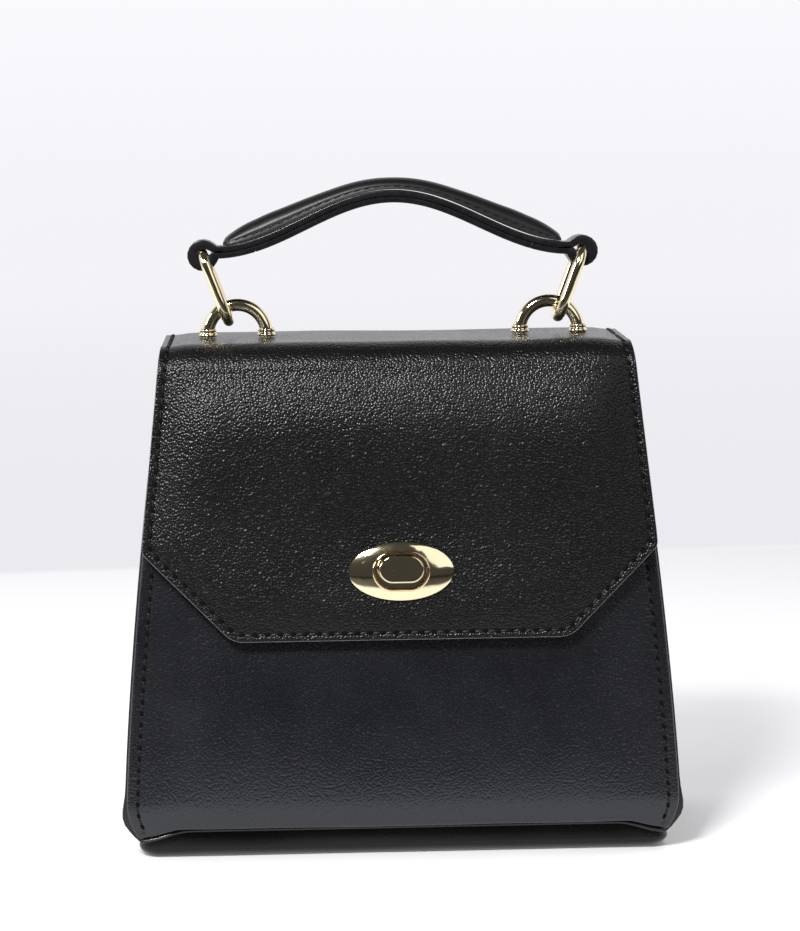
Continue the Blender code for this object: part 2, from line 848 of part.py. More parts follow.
def build_flap_front():
    """The hanging front of the flap and its lining, with the slot that the knob comes through."""
    low = -FLAP_PLATE_BACK - CUT_OVERRUN
    slot = plate(oblong(SLOT_WIDTH, SLOT_HEIGHT), low, CUT_OVERRUN, ESCUTCHEON_FRAME)
    holes = [plate(tongue_outline(GAP), low, CUT_OVERRUN, frame) for frame in tongue_frames()]
    cutter = make_cutter(joined([slot] + holes), "flap_slot")
    leather = plate(flap_outline(-GAP, 0), -FLAP_THICK, 0, FLAP_FRAME)
    add_boolean(leather, cutter, "DIFFERENCE")
    finish_part(leather, "flap_front_leather", BLACK_LEATHER)
    lining = plate(
        flap_outline(-FLAP_LINING_MARGIN, FLAP_LINING_MARGIN),
        -FLAP_LINING_BACK,
        -FLAP_THICK - GAP,
        FLAP_FRAME,
    )
    add_boolean(lining, cutter, "DIFFERENCE")
    finish_part(lining, "flap_front_lining", LINING_CLOTH)


def dome(width, height, rim, rise, matrix, rings=4, steps=32):
    """An oval dome: a low rim, then sections that shrink along a quarter round."""
    sections = [(1.0, 0.0), (1.0, rim)]
    for ring in range(1, rings):
        turn = math.pi / 2 * ring / rings
        sections.append((math.cos(turn), rim + (rise - rim) * math.sin(turn)))
    levels = []
    for share, lift in sections:
        outline = oval(width * share, height * share, steps)
        levels.append([matrix @ Vector((x, y, lift)) for x, y in outline])
    return loft(levels)


def build_escutcheon():
    """The oval lock plate on the flap, its back plate, and the tongues that clinch them."""
    place = ESCUTCHEON_FRAME @ Matrix.Translation((0, 0, GAP))
    body = dome(ESCUTCHEON_WIDTH, ESCUTCHEON_HEIGHT, ESCUTCHEON_RIM, ESCUTCHEON_RISE, place)
    lip_width = SLOT_WIDTH + 2 * SLOT_LIP
    lip_height = SLOT_HEIGHT + 2 * SLOT_LIP
    lip = make_cutter(plate(oblong(lip_width, lip_height), 0, SLOT_LIP_RISE, place), "slot_lip")
    hole = plate(
        oblong(SLOT_WIDTH, SLOT_HEIGHT), -CUT_OVERRUN, SLOT_LIP_RISE + CUT_OVERRUN, place
    )
    make_cutter(hole, "escutcheon_slot")
    add_boolean(body, lip, "UNION")
    add_boolean(body, hole, "DIFFERENCE")
    finish_part(body, "escutcheon", GOLD_METAL)

    low = -FLAP_PLATE_BACK
    back = plate(oval(LOCK_PLATE_WIDTH, ESCUTCHEON_HEIGHT), low, low + LOCK_PLATE_THICK, ESCUTCHEON_FRAME)
    back_low = low - CUT_OVERRUN
    back_hole = [
        plate(oblong(SLOT_WIDTH, SLOT_HEIGHT), back_low, low + LOCK_PLATE_THICK + CUT_OVERRUN,
              ESCUTCHEON_FRAME)
    ]
    for frame in tongue_frames():
        back_hole.append(
            plate(tongue_outline(GAP), back_low, low + LOCK_PLATE_THICK + CUT_OVERRUN, frame)
        )
    add_boolean(back, make_cutter(joined(back_hole), "back_plate_slot"), "DIFFERENCE")
    finish_part(back, "escutcheon_back_plate", STEEL_METAL)

    for frame, word in zip(tongue_frames(), ("left", "right")):
        tongue = plate(tongue_outline(0), low - LOCK_PLATE_THICK / 2, 0, frame)
        finish_part(tongue, word + "_escutcheon_tongue", STEEL_METAL)


def build_lock_base():
    """The lock's plates on either side of the front panel and the rivets through them."""
    outline = oval(LOCK_PLATE_WIDTH, LOCK_PLATE_HEIGHT)
    front = plate(outline, GAP, GAP + LOCK_PLATE_THICK, LOCK_FRAME)
    add_boolean(front, LOCK_HOLES, "DIFFERENCE")
    finish_part(front, "lock_base_plate", GOLD_METAL)
    back = plate(outline, -BACK_PLATE_BACK, -BACK_PLATE_FRONT, LOCK_FRAME)
    add_boolean(back, LOCK_HOLES, "DIFFERENCE")
    finish_part(back, "lock_back_plate", STEEL_METAL)

    top = GAP + LOCK_PLATE_THICK + GAP
    bottom = -BACK_PLATE_BACK - GAP
    for side, word in ((-1, "left"), (1, "right")):
        place = LOCK_FRAME @ Matrix.Translation((side * RIVET_SPACING / 2, 0, 0))
        levels = (
            (RIVET_HEAD_RADIUS, bottom - RIVET_HEAD_THICK),
            (RIVET_HEAD_RADIUS, bottom),
            (RIVET_RADIUS, bottom),
            (RIVET_RADIUS, top),
            (RIVET_HEAD_RADIUS, top),
            (RIVET_HEAD_RADIUS, top + RIVET_HEAD_THICK),
        )
        finish_part(turned(levels, place, 12), word + "_lock_rivet", STEEL_METAL)


LOCK_OUT = LOCK_FRAME.to_3x3() @ Vector((0, 0, 1))
FLAP_STAND_OFF = (ESCUTCHEON_FRAME.translation - LOCK_FRAME.translation).dot(LOCK_OUT)
KNOB_LOW = FLAP_STAND_OFF + GAP + SLOT_LIP_RISE + KNOB_STAND_OFF


def build_knob():
    """The turn knob with its spindle through the body's front, and the clip that keeps it."""
    tail = -BACK_PLATE_BACK - GAP - CLIP_THICK - SPINDLE_TAIL
    knob = plate(oblong(KNOB_WIDTH, KNOB_HEIGHT), KNOB_LOW, KNOB_LOW + KNOB_THICK, LOCK_FRAME)
    add_bevel(knob, KNOB_BEVEL)
    spindle = cylinder(SPINDLE_RADIUS, tail, KNOB_LOW + KNOB_THICK / 2, LOCK_FRAME)
    add_boolean(knob, make_cutter(spindle, "spindle"), "UNION")
    finish_part(knob, "turn_knob", GOLD_METAL)

    low = -BACK_PLATE_BACK - GAP - CLIP_THICK
    clip = cylinder(CLIP_RADIUS, low, low + CLIP_THICK, LOCK_FRAME)
    hole = cylinder(SPINDLE_HOLE, low - CUT_OVERRUN, low + CLIP_THICK + CUT_OVERRUN, LOCK_FRAME)
    add_boolean(clip, make_cutter(hole, "clip_hole"), "DIFFERENCE")
    finish_part(clip, "spindle_clip", STEEL_METAL)


ARCH_CENTRE_HEIGHT = TOP_HEIGHT + ARCH_RISE - ARCH_RADIUS


def build_arches():
    """Two arches through the flap's top, with collars above and washers and screws below."""
    shank_top = LEG_END + SCREW_SHANK_LENGTH + GAP
    for side, word in ((-1, "left"), (1, "right")):
        centre = side * ARCH_SPACING / 2
        points = [(centre + ARCH_RADIUS, 0, LEG_END), (centre + ARCH_RADIUS, 0, TOP_HEIGHT)]
        for step in range(17):
            turn = math.pi * step / 16
            points.append(
                (
                    centre + ARCH_RADIUS * math.cos(turn),
                    0,
                    ARCH_CENTRE_HEIGHT + ARCH_RADIUS * math.sin(turn),
                )
            )
        points += [(centre - ARCH_RADIUS, 0, TOP_HEIGHT), (centre - ARCH_RADIUS, 0, LEG_END)]
        arch = wire(points, ARCH_WIRE, closed=False, resolution=3)
        bores = []
        for foot in (-1, 1):
            place = Matrix.Translation((centre + foot * ARCH_RADIUS, 0, 0))
            bores.append(
                cylinder(SCREW_SHANK_RADIUS + GAP, LEG_END - CUT_OVERRUN, shank_top, place, sides=12)
            )
        add_boolean(arch, make_cutter(joined(bores), word + "_arch_bores"), "DIFFERENCE")
        finish_part(arch, word + "_arch", GOLD_METAL)

    washer_high = LEG_END - GAP
    washer_low = washer_high - WASHER_THICK
    head_high = washer_low - GAP
    screw_hole = SCREW_SHANK_RADIUS + GAP
    for word, x in ARCH_FEET.items():
        place = Matrix.Translation((x, 0, 0))
        collar = ring_plate(COLLAR_RADIUS, FOOT_HOLE, TOP_HEIGHT + GAP, COLLAR_HEIGHT, place)
        finish_part(collar, word + "_collar", GOLD_METAL)
        washer = ring_plate(WASHER_RADIUS, screw_hole, washer_low, WASHER_THICK, place)
        finish_part(washer, word + "_washer", STEEL_METAL)
        levels = (
            (SCREW_HEAD_RADIUS, head_high - SCREW_HEAD_THICK),
            (SCREW_HEAD_RADIUS, head_high),
            (SCREW_SHANK_RADIUS, head_high),
            (SCREW_SHANK_RADIUS, LEG_END + SCREW_SHANK_LENGTH),
        )
        finish_part(turned(levels, place, 12), word + "_screw", STEEL_METAL)


RING_REACH = RING_LENGTH / 2 - RING_WIRE
RING_SPREAD = RING_WIDTH / 2 - RING_WIRE


def ring_outline(turn):
    """Point on a ring's middle line in its own plane, as (up, across)."""
    power = 2 / RING_OVAL_POWER
    up = math.copysign(abs(math.cos(turn)) ** power, math.cos(turn))
    across = math.copysign(abs(math.sin(turn)) ** power, math.sin(turn))
    return RING_REACH * up, RING_SPREAD * across


def ring_sag():
    """Half of how far the ring's end falls away across the strap's width."""
    share = STRAP_WIDTH / 2 / RING_SPREAD
    return RING_REACH * (1 - (1 - share**RING_OVAL_POWER) ** (1 / RING_OVAL_POWER)) / 2


def ring_seat(side):
    """Middle of a ring's lower end, which hangs inside its arch."""
    reach = ARCH_RADIUS - ARCH_WIRE - RING_WIRE - RING_PLAY
    across = ARCH_SPACING / 2 + reach * math.sin(RING_SEAT_TURN)
    return Vector((side * across, 0, ARCH_CENTRE_HEIGHT + reach * math.cos(RING_SEAT_TURN)))


def loop_centre(side):
    """Middle of the strap's end loop, where the upper end of the leaning ring passes through."""
    along = Vector((side * math.sin(RING_LEAN), 0, math.cos(RING_LEAN)))
    return ring_seat(side) + along * (2 * RING_REACH - ring_sag())


LOOP_REACH = loop_centre(1).x
LOOP_HEIGHT = loop_centre(1).z
STRAP_HALF_RUN = LOOP_REACH - LOOP_NECK
STRAP_END_HEIGHT = LOOP_HEIGHT + STRAP_END_RISE
COVER_REACH = STRAP_HALF_RUN - COVER_END_MARGIN
PAD_REACH = COVER_REACH - PAD_END_MARGIN


def strap_point(x, offset):
    """Point in the (x, z) plane beside the line between the strap's layers, offset square to it."""
    turn = math.pi * x / STRAP_HALF_RUN
    height = STRAP_END_HEIGHT + STRAP_BELL * (1 + math.cos(turn)) / 2
    slope = -STRAP_BELL * math.pi / STRAP_HALF_RUN * math.sin(turn) / 2
    out = Vector((-slope, 1)).normalized()
    return Vector((x, height)) + out * offset


def loop_points(steps=14):
    """The left loop's bore, from the lower layer round to the upper one."""
    centre = Vector((-LOOP_REACH, LOOP_HEIGHT))
    pinch = Vector((-STRAP_HALF_RUN, STRAP_END_HEIGHT)) - centre
    heading = math.atan2(pinch.y, pinch.x)
    touch = math.acos(LOOP_BORE / pinch.length)
    points = []
    for step in range(steps + 1):
        turn = heading - touch - (2 * math.pi - 2 * touch) * step / steps
        points.append(centre + LOOP_BORE * Vector((math.cos(turn), math.sin(turn))))
    return points


def strap_sheet(path, thickness):
    """A strap across the handle's width that follows a path, thickened away from its inner face."""
    rows = [
        [(point.x, -STRAP_WIDTH / 2, point.y), (point.x, STRAP_WIDTH / 2, point.y)]
        for point in path
    ]
    item = sheet(rows)
    add_solidify(item, thickness)
    return item


def handle_path():
    """The strap's inner face: folded-back end, loop, the long upper layer, loop, folded-back end."""
    half = GAP / 2
    inner = STRAP_HALF_RUN - STRAP_FOLD_BACK
    lower = [strap_point(x, -half) for x in spread(-inner, -STRAP_HALF_RUN, 5)]
    left = lower + loop_points()
    upper = [strap_point(x, half) for x in spread(-STRAP_HALF_RUN, STRAP_HALF_RUN, 29)]
    right = [Vector((-point.x, point.y)) for point in reversed(left)]
    return left + upper + right


def cover_height(share):
    """Height of the padded cover at a share of its reach from the middle."""
    share = abs(share)
    for (near, low), (far, high) in zip(COVER_SHARES, COVER_SHARES[1:]):
        if share <= far:
            blend = (share - near) / (far - near)
            return COVER_HEIGHT * (low + (high - low) * blend)
    return COVER_HEIGHT * COVER_SHARES[-1][1]


COVER_SEAT = GAP / 2 + STRAP_THICK + SLACK


def dome_section(x, inset, steps=8):
    """Half-oval section square to the strap at x, a given inset inside the cover."""
    width = STRAP_WIDTH / 2 - inset
    height = cover_height(x / COVER_REACH) - inset
    points = []
    for step in range(steps + 1):
        turn = math.pi * step / steps
        point = strap_point(x, COVER_SEAT + height * math.sin(turn))
        points.append((point.x, -width * math.cos(turn), point.y))
    return points


def build_handle():
    """The strap with its end loops, the strip under it, the pad on it and the domed cover."""
    strap = strap_sheet(handle_path(), STRAP_THICK)
    finish_part(strap, "handle_strap", BLACK_LEATHER)
    inner = STRAP_HALF_RUN - STRAP_FOLD_BACK - GAP
    path = [strap_point(x, -GAP / 2) for x in spread(-inner, inner, 21)]
    finish_part(strap_sheet(path[::-1], STRAP_THICK), "handle_underlay", BLACK_LEATHER)

    rows = [dome_section(x, 0) for x in spread(-COVER_REACH, COVER_REACH, 31)]
    cover = sheet([row[::-1] for row in rows])
    add_solidify(cover, COVER_THICK)
    finish_part(cover, "handle_cover", BLACK_LEATHER)
    pad = loft([dome_section(x, COVER_THICK + GAP) for x in spread(-PAD_REACH, PAD_REACH, 21)])
    finish_part(pad, "handle_pad", FOAM)


def build_rings():
    """An oval wire ring through each end loop and under its arch."""
    steps = 32
    for side, word in ((-1, "left"), (1, "right")):
        along = Vector((side * math.sin(RING_LEAN), 0, math.cos(RING_LEAN)))
        centre = ring_seat(side) + along * RING_REACH
        points = []
        for step in range(steps):
            up, across = ring_outline(2 * math.pi * step / steps)
            points.append(centre + along * up + Vector((0, across, 0)))
        finish_part(wire(points, RING_WIRE, closed=True), word + "_ring", GOLD_METAL)


def swing_height():
    """Height of the arches' middle line where the rings hang on them."""
    reach = ring_seat(1).x - ARCH_SPACING / 2
    return ARCH_CENTRE_HEIGHT + math.sqrt(ARCH_RADIUS**2 - reach**2)


def pivot(name, place, pieces):
    """An empty on a joint's axis that carries the pieces that turn about it."""
    empty = bpy.data.objects.new(name, None)
    empty.empty_display_size = COLLAR_RADIUS
    empty.location = place
    PARTS.objects.link(empty)
    bpy.context.view_layer.update()
    for piece in pieces:
        item = bpy.data.objects[piece]
        matrix = item.matrix_world.copy()
        item.parent = empty
        item.matrix_parent_inverse = empty.matrix_world.inverted()
        item.matrix_world = matrix
    return empty


def build_pivots():
    """Empties on the hinge lines, each with the pieces that move with it."""
    fittings = [word + piece for word in ARCH_FEET for piece in ("_collar", "_washer", "_screw")]
    lift = pivot(
        "flap_lift_axis",
        (0, REAR_DEPTH, FOLD_HEIGHT),
        ["flap_top_leather", "flap_top_board", "flap_top_lining", "left_arch", "right_arch"]
        + fittings,
    )
    fold = pivot(
        "flap_fold_axis",
        (0, -FLAP_FRONT_DEPTH, FOLD_HEIGHT),
        ["flap_front_leather", "flap_front_lining", "escutcheon", "escutcheon_back_plate",
         "left_escutcheon_tongue", "right_escutcheon_tongue"],
    )
    swing = pivot(
        "handle_swing_axis",
        (0, 0, swing_height()),
        ["handle_strap", "handle_underlay", "handle_cover", "handle_pad"],
    )
    pivot("lock_turn_axis", LOCK_FRAME.translation, ["turn_knob", "spindle_clip"])
    for side, word in ((-1, "left"), (1, "right")):
        tilt = pivot(word + "_ring_axis", loop_centre(side), [word + "_ring"])
        attach(tilt, swing)
    attach(fold, lift)
    attach(swing, lift)


def attach(child, parent):
    """Hangs one pivot on another without moving it."""
    bpy.context.view_layer.update()
    matrix = child.matrix_world.copy()
    child.parent = parent
    child.matrix_parent_inverse = parent.matrix_world.inverted()
    child.matrix_world = matrix


build_panels()
build_gussets()
build_base()
build_linings()
build_trims()
build_rear_band()
build_flap_top()
build_flap_front()
build_escutcheon()
build_lock_base()
build_knob()
build_arches()
build_handle()
build_rings()
build_pivots()
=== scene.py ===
# %% [markdown]
# # A small flap bag
# The bag is a stiffened leather body with a hanging flap, a turn lock and one padded handle on two wire rings.
# Its construction model gives every size and joint. This notebook dresses it: each soft piece is cut flat, as on
# a bench, and then bent over the place that the construction model keeps for it.

import json
import math

import bpy
from mathutils import Matrix, Vector, noise

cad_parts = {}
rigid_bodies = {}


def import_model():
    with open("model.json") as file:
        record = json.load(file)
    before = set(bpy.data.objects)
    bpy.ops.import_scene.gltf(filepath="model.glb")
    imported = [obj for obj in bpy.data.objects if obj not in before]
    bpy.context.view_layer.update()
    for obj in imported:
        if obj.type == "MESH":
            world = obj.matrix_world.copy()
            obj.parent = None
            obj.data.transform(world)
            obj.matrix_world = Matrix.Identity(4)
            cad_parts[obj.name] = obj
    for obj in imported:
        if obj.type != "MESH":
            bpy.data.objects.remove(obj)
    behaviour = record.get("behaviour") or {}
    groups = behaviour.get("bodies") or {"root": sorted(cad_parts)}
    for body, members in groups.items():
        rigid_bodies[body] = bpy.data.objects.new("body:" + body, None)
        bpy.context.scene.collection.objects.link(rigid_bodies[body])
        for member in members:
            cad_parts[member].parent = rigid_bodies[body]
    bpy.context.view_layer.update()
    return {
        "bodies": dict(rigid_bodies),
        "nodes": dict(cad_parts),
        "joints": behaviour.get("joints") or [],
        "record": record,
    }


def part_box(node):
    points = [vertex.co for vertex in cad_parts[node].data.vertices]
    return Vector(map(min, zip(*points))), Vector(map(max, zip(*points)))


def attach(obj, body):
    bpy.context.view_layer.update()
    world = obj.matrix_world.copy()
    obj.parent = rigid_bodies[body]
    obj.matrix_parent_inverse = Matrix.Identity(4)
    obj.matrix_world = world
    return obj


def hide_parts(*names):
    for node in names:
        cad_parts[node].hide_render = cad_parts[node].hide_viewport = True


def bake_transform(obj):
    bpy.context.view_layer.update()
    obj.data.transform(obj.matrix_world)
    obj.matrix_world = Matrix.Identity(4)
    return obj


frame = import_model()
bpy.ops.object.select_all(action="DESELECT")

# %% [markdown]
# The photograph was taken with a long lens a little above the bag and almost square to its front. A short lens
# would bring the handle forward and widen the base, so the distance is fixed first and the lens follows from it.

# %% Camera
AIM = Vector((0.0018, 0, 0.110))
DISTANCE = 1.1075
AZIMUTH = math.radians(-2.2)
ELEVATION = math.radians(7.5)
LOOK_UP = math.radians(1.28)
ROLL = math.radians(-0.7)
LENS = 116.24

away = Vector(
    (
        math.sin(AZIMUTH) * math.cos(ELEVATION),
        -math.cos(AZIMUTH) * math.cos(ELEVATION),
        math.sin(ELEVATION),
    )
)
camera = bpy.data.objects.new("camera", bpy.data.cameras.new("camera"))
bpy.context.scene.collection.objects.link(camera)
camera.data.lens = LENS
camera.location = AIM + away * DISTANCE
turn = (-away).to_track_quat("-Z", "Y").to_matrix()
tilt = Matrix.Rotation(LOOK_UP, 3, "X") @ Matrix.Rotation(ROLL, 3, "Z")
camera.rotation_euler = (turn @ tilt).to_euler()
bpy.context.scene.camera = camera
print("camera", [round(x, 3) for x in camera.location])

# %% [markdown]
# A material is a network of nodes. Written node by node it is long and hard to read, so one small class wraps a
# socket: an expression such as `1 - grain * 0.3` then adds its own Math nodes.

# %% Shader arithmetic
class Term:
    """A varying number or colour in a material's network."""

    def __init__(self, finish, socket):
        self.finish = finish
        self.socket = socket

    def combine(self, operation, first, second):
        return self.finish.node("ShaderNodeMath", {"operation": operation}, {0: first, 1: second})

    def __add__(self, other):
        return self.combine("ADD", self, other)

    def __sub__(self, other):
        return self.combine("SUBTRACT", self, other)

    def __rsub__(self, other):
        return self.combine("SUBTRACT", other, self)

    def __mul__(self, other):
        return self.combine("MULTIPLY", self, other)

    def __pow__(self, other):
        return self.combine("POWER", self, other)

    def greater(self, other):
        return self.combine("MAXIMUM", self, other)

    def rise(self, low, high):
        """0 below low, 1 above high and smooth between them."""
        settings = {"interpolation_type": "SMOOTHSTEP"}
        return self.finish.node("ShaderNodeMapRange", settings, {"Value": self, 1: low, 2: high})

    __radd__ = __add__
    __rmul__ = __mul__


class Finish:
    """One procedural material, built up from nodes."""

    def __init__(self, name, tree=None):
        if tree is None:
            self.material = bpy.data.materials.new(name)
            self.material.use_nodes = True
            tree = self.material.node_tree
        self.tree = tree

    def node(self, kind, settings=None, inputs=None, output=0):
        """Adds a node: its settings first, then the values or links of its sockets."""
        made = self.tree.nodes.new(kind)
        for name, value in (settings or {}).items():
            setattr(made, name, value)
        for name, value in (inputs or {}).items():
            self.feed(made.inputs[name], value)
        return Term(self, made.outputs[output])

    def feed(self, socket, value):
        if isinstance(value, Term):
            self.tree.links.new(value.socket, socket)
        elif isinstance(value, tuple) and len(value) == 3 and socket.type == "RGBA":
            socket.default_value = (*value, 1)
        else:
            socket.default_value = value

    def place(self, kind="Object"):
        return self.node("ShaderNodeTexCoord", output=kind)

    def noise(self, size, detail=2.0, where=None, output="Fac"):
        """Soft noise whose blotches are about a given size in metres."""
        where = where or self.place()
        inputs = {"Vector": where, "Scale": 1 / size, "Detail": detail}
        return self.node("ShaderNodeTexNoise", None, inputs, output)

    def cells(self, size, feature, where):
        inputs = {"Vector": where, "Scale": 1 / size}
        return self.node("ShaderNodeTexVoronoi", {"feature": feature}, inputs)

    def mix(self, share, first, second):
        settings = {"data_type": "RGBA"}
        return self.node("ShaderNodeMix", settings, {0: share, 6: first, 7: second}, 2)

    def wander(self, size, amount):
        """Object coordinates pushed about by noise, which keeps a pattern from looking regular."""
        push = self.noise(size, 2.0, output="Color")
        push = self.node("ShaderNodeVectorMath", {"operation": "SCALE"}, {0: push, "Scale": amount})
        return self.node("ShaderNodeVectorMath", {"operation": "ADD"}, {0: self.place(), 1: push})

    def bump(self, height, distance):
        return self.node("ShaderNodeBump", None, {"Height": height, "Distance": distance})

    def axis(self, where, index):
        """One of a vector's three numbers."""
        return self.node("ShaderNodeSeparateXYZ", None, {"Vector": where}, index)

    def ray(self, kind):
        """1 for rays of a kind and 0 for all others."""
        return self.node("ShaderNodeLightPath", output="Is " + kind + " Ray")

    def shade(self, **sockets):
        """Sets the Principled shader's sockets; an underscore stands for a space."""
        shader = self.tree.nodes["Principled BSDF"]
        for name, value in sockets.items():
            self.feed(shader.inputs[name.replace("_", " ")], value)
        return self.material


print("materials are written as expressions")

# %% [markdown]
# The bag's leather is black calf with a fine grain: small plump cells with creases between them. The creases are
# painted darker, which is painted shade, and broad blotches make the black a little uneven. Painting the creases
# alone would look printed, so the same cells also raise the surface, dull the creases and break up the gloss. The
# grain reads object coordinates, which wrap round every edge without a seam.

# %% Leather
def scaled(colour, share, lift=0.0):
    return tuple(share * c + lift for c in colour)


def leather(name, colour, roughness, grain, depth, crease=0.3, shine=0.5, tint=(1, 1, 1)):
    """Grained leather. Grain and depth are in metres, and crease is how dull its creases are."""
    finish = Finish(name)
    where = finish.wander(grain * 5, grain * 0.5)
    edge = finish.cells(grain, "DISTANCE_TO_EDGE", where).rise(0.0, 0.12)
    fine = finish.noise(grain * 0.4, 2.0, where)
    broad = finish.noise(0.045, 3.0)
    patch = finish.noise(0.012, 3.0)
    pebble = patch * 0.2 + fine * 0.06 - finish.cells(grain, "F1", where) ** 2
    # Darker creases in the colour are painted shade; the broad blotches are the leather's own unevenness.
    tone_and_crease_shade = (broad * 0.5 + edge * 0.5).rise(0.2, 0.9)
    return finish.shade(
        Base_Color=finish.mix(tone_and_crease_shade, scaled(colour, 0.55), scaled(colour, 1.25, 0.001)),
        Roughness=broad * 0.08 + (1 - edge) * crease + patch * 0.08 + (roughness - 0.08),
        Normal=finish.bump(pebble, depth),
        Specular_IOR_Level=shine,
        Specular_Tint=tint,
    )


FLAP_LEATHER = leather("flap_leather", (0.0034, 0.0034, 0.0037), 0.22, 0.00086, 0.00021, 0.15, 0.30)
# The body's leather is given a blue cast in its colour and in its gloss's tint: a painted tint of the reflections
# on the body's lower part.
BODY_LEATHER = leather(
    "body_leather", (0.0034, 0.0036, 0.0050), 0.24, 0.00090, 0.00008, 0.08, 0.72, (0.90, 0.92, 1.0)
)
SIDE_LEATHER = leather("side_leather", (0.0048, 0.0050, 0.0060), 0.38, 0.00080, 0.00012, 0.12)
HANDLE_LEATHER = leather("handle_leather", (0.0045, 0.0045, 0.0050), 0.26, 0.00070, 0.00003, 0.12)
GRIP_LEATHER = leather("grip_leather", (0.0045, 0.0045, 0.0050), 0.38, 0.00070, 0.00001, 0.05, 0.35)
# The base's leather is painted darker than the rest of the bag: painted shade of its recess under the seam.
BASE_LEATHER = leather("base_leather", (0.0024, 0.0023, 0.0024), 0.24, 0.00080, 0.00001, 0.06, 0.30)
print("leathers made")

# %% [markdown]
# Cut edges are sealed with edge paint, which dries to a soft satin skin with small sags. The bindings at the
# gussets' tops are thinner leather that has faded towards olive.

# %% Edge paint and binding
def edge_paint(name, colour, roughness, shine=0.5):
    finish = Finish(name)
    sag = finish.noise(0.003, 2.0)
    speck = finish.noise(0.0006, 2.0)
    return finish.shade(
        Base_Color=finish.mix(sag, scaled(colour, 0.7), scaled(colour, 1.4)),
        Roughness=sag * 0.15 + speck * 0.1 + (roughness - 0.1),
        Normal=finish.bump(sag + speck * 0.3, 0.00008),
        Specular_IOR_Level=shine,
    )


EDGE_PAINT = edge_paint("edge_paint", (0.006, 0.006, 0.007), 0.26)
# The flap's edge paint is pale grey, far paler than the black edge paint elsewhere: partly a pale paint, partly a
# painted reflection of the white table on the flap's rounded lower edges.
FLAP_EDGE_PAINT_AND_SHEEN = edge_paint("flap_edge_paint_and_sheen", (0.105, 0.105, 0.112), 0.30, 1.0)
BINDING = leather("binding_leather", (0.022, 0.024, 0.014), 0.50, 0.00070, 0.00005)
print("edge finishes made")

# %% [markdown]
# The fittings are polished and plated a pale gold. Real plating is never a perfect mirror: it has a faint ripple
# from polishing, hairline scratches and a breath of haze, and those keep it from looking like a computer's chrome.

# %% Metals
def plated(name, colour, roughness, ripple):
    """Polished plate with a slight ripple, hairline scratches and haze."""
    finish = Finish(name)
    haze = finish.noise(0.006, 3.0)
    swell = finish.noise(0.004, 1.0)
    stretch = finish.node(
        "ShaderNodeMapping", {"vector_type": "POINT"},
        {"Vector": finish.place(), "Rotation": (0.3, 0.5, 0.8), "Scale": (1.0, 14.0, 1.0)},
    )
    hair = finish.noise(0.003, 3.0, stretch).rise(0.66, 0.72)
    return finish.shade(
        Base_Color=finish.mix(haze, scaled(colour, 0.94), colour),
        Metallic=1.0,
        Roughness=haze * 0.08 + hair * 0.10 + roughness,
        Normal=finish.bump(swell, ripple),
    )


GOLD = plated("pale_gold_plate", (0.96, 0.84, 0.56), 0.04, 0.00006)
# The lip and wall of the lock's slot get a deeper orange gold: a painted reflection of gold mirrored in gold inside
# the slot.
LIP_REFLECTION_GOLD = plated("lip_reflection_gold_plate", (0.82, 0.40, 0.14), 0.07, 0.00004)
STEEL = plated("bright_steel", (0.56, 0.55, 0.53), 0.25, 0.00003)
print("metals made")

# %% [markdown]
# Inside the bag there is a plain woven lining. Its threads follow the cloth, so the weave reads the piece's own
# flat coordinates, which the bench gives it, and not the object's.

# %% Cloth, board and thread
def woven(name, colour, thread):
    """Plain weave: two sets of threads that pass over and under each other."""
    finish = Finish(name)
    flat = finish.place("UV")
    ribs = []
    for direction in ("X", "Y"):
        settings = {"wave_type": "BANDS", "bands_direction": direction, "wave_profile": "SIN"}
        inputs = {"Vector": flat, "Scale": 0.314 / thread, "Distortion": 0.4, "Detail": 1.0}
        ribs.append(finish.node("ShaderNodeTexWave", settings, inputs, "Fac"))
    lift = ribs[0].greater(ribs[1])
    slub = finish.noise(0.004, 3.0, flat)
    return finish.shade(
        Base_Color=finish.mix(lift * 0.7 + slub * 0.3, scaled(colour, 0.45), colour),
        Roughness=0.92 - slub * 0.12,
        Normal=finish.bump(lift + slub * 0.4, thread * 0.4),
        Sheen_Weight=0.2,
    )


def matted(name, pale, dark, grain, depth):
    """Pressed board, or the painted shade of awl holes: a dull, speckled surface."""
    finish = Finish(name)
    speck = finish.noise(grain, 4.0)
    blotch = finish.noise(grain * 12, 2.0)
    return finish.shade(
        Base_Color=finish.mix((speck * 0.6 + blotch * 0.4).rise(0.3, 0.7), dark, pale),
        Roughness=0.95 - blotch * 0.1,
        Specular_IOR_Level=0.15,
        Normal=finish.bump(speck, depth),
    )


def sewing_thread(name, colour):
    """Waxed thread: plies that wind round it, and a little shine where the wax is thick."""
    finish = Finish(name)
    ply = finish.noise(0.0005, 2.0)
    wax = finish.noise(0.002, 2.0)
    return finish.shade(
        Base_Color=finish.mix(ply, scaled(colour, 0.5), colour),
        Roughness=wax * 0.3 + 0.30,
        Specular_IOR_Level=0.30,
        Normal=finish.bump(ply, 0.0001),
    )


LINING = woven("lining_cloth", (0.060, 0.056, 0.060), 0.0005)
BOARD = matted("fibre_board", (0.28, 0.23, 0.17), (0.17, 0.13, 0.09), 0.0008, 0.0001)
THREAD = sewing_thread("black_thread", (0.006, 0.006, 0.007))
# The dark pieces between the stitches are painted shade of the awl holes.
HOLE_SHADE = matted("awl_hole_shade", (0.0012, 0.0012, 0.0014), (0.0004, 0.0004, 0.0004), 0.0005, 0.0001)
print("cloth, board and thread made")

# %% [markdown]
# Leather work starts flat. A rectangle is laid on the bench, scored where it has to bend, given its thickness and
# its rounded edge, and only then bent over the form. Doing the edge while the piece is flat keeps the wall and the
# rounding even, which is hard to get once a sheet is curved.

# %% Bench tools
BEVEL_FROM = math.radians(40)
FLAT_NORMAL = 0.985
PROBE = 0.0001


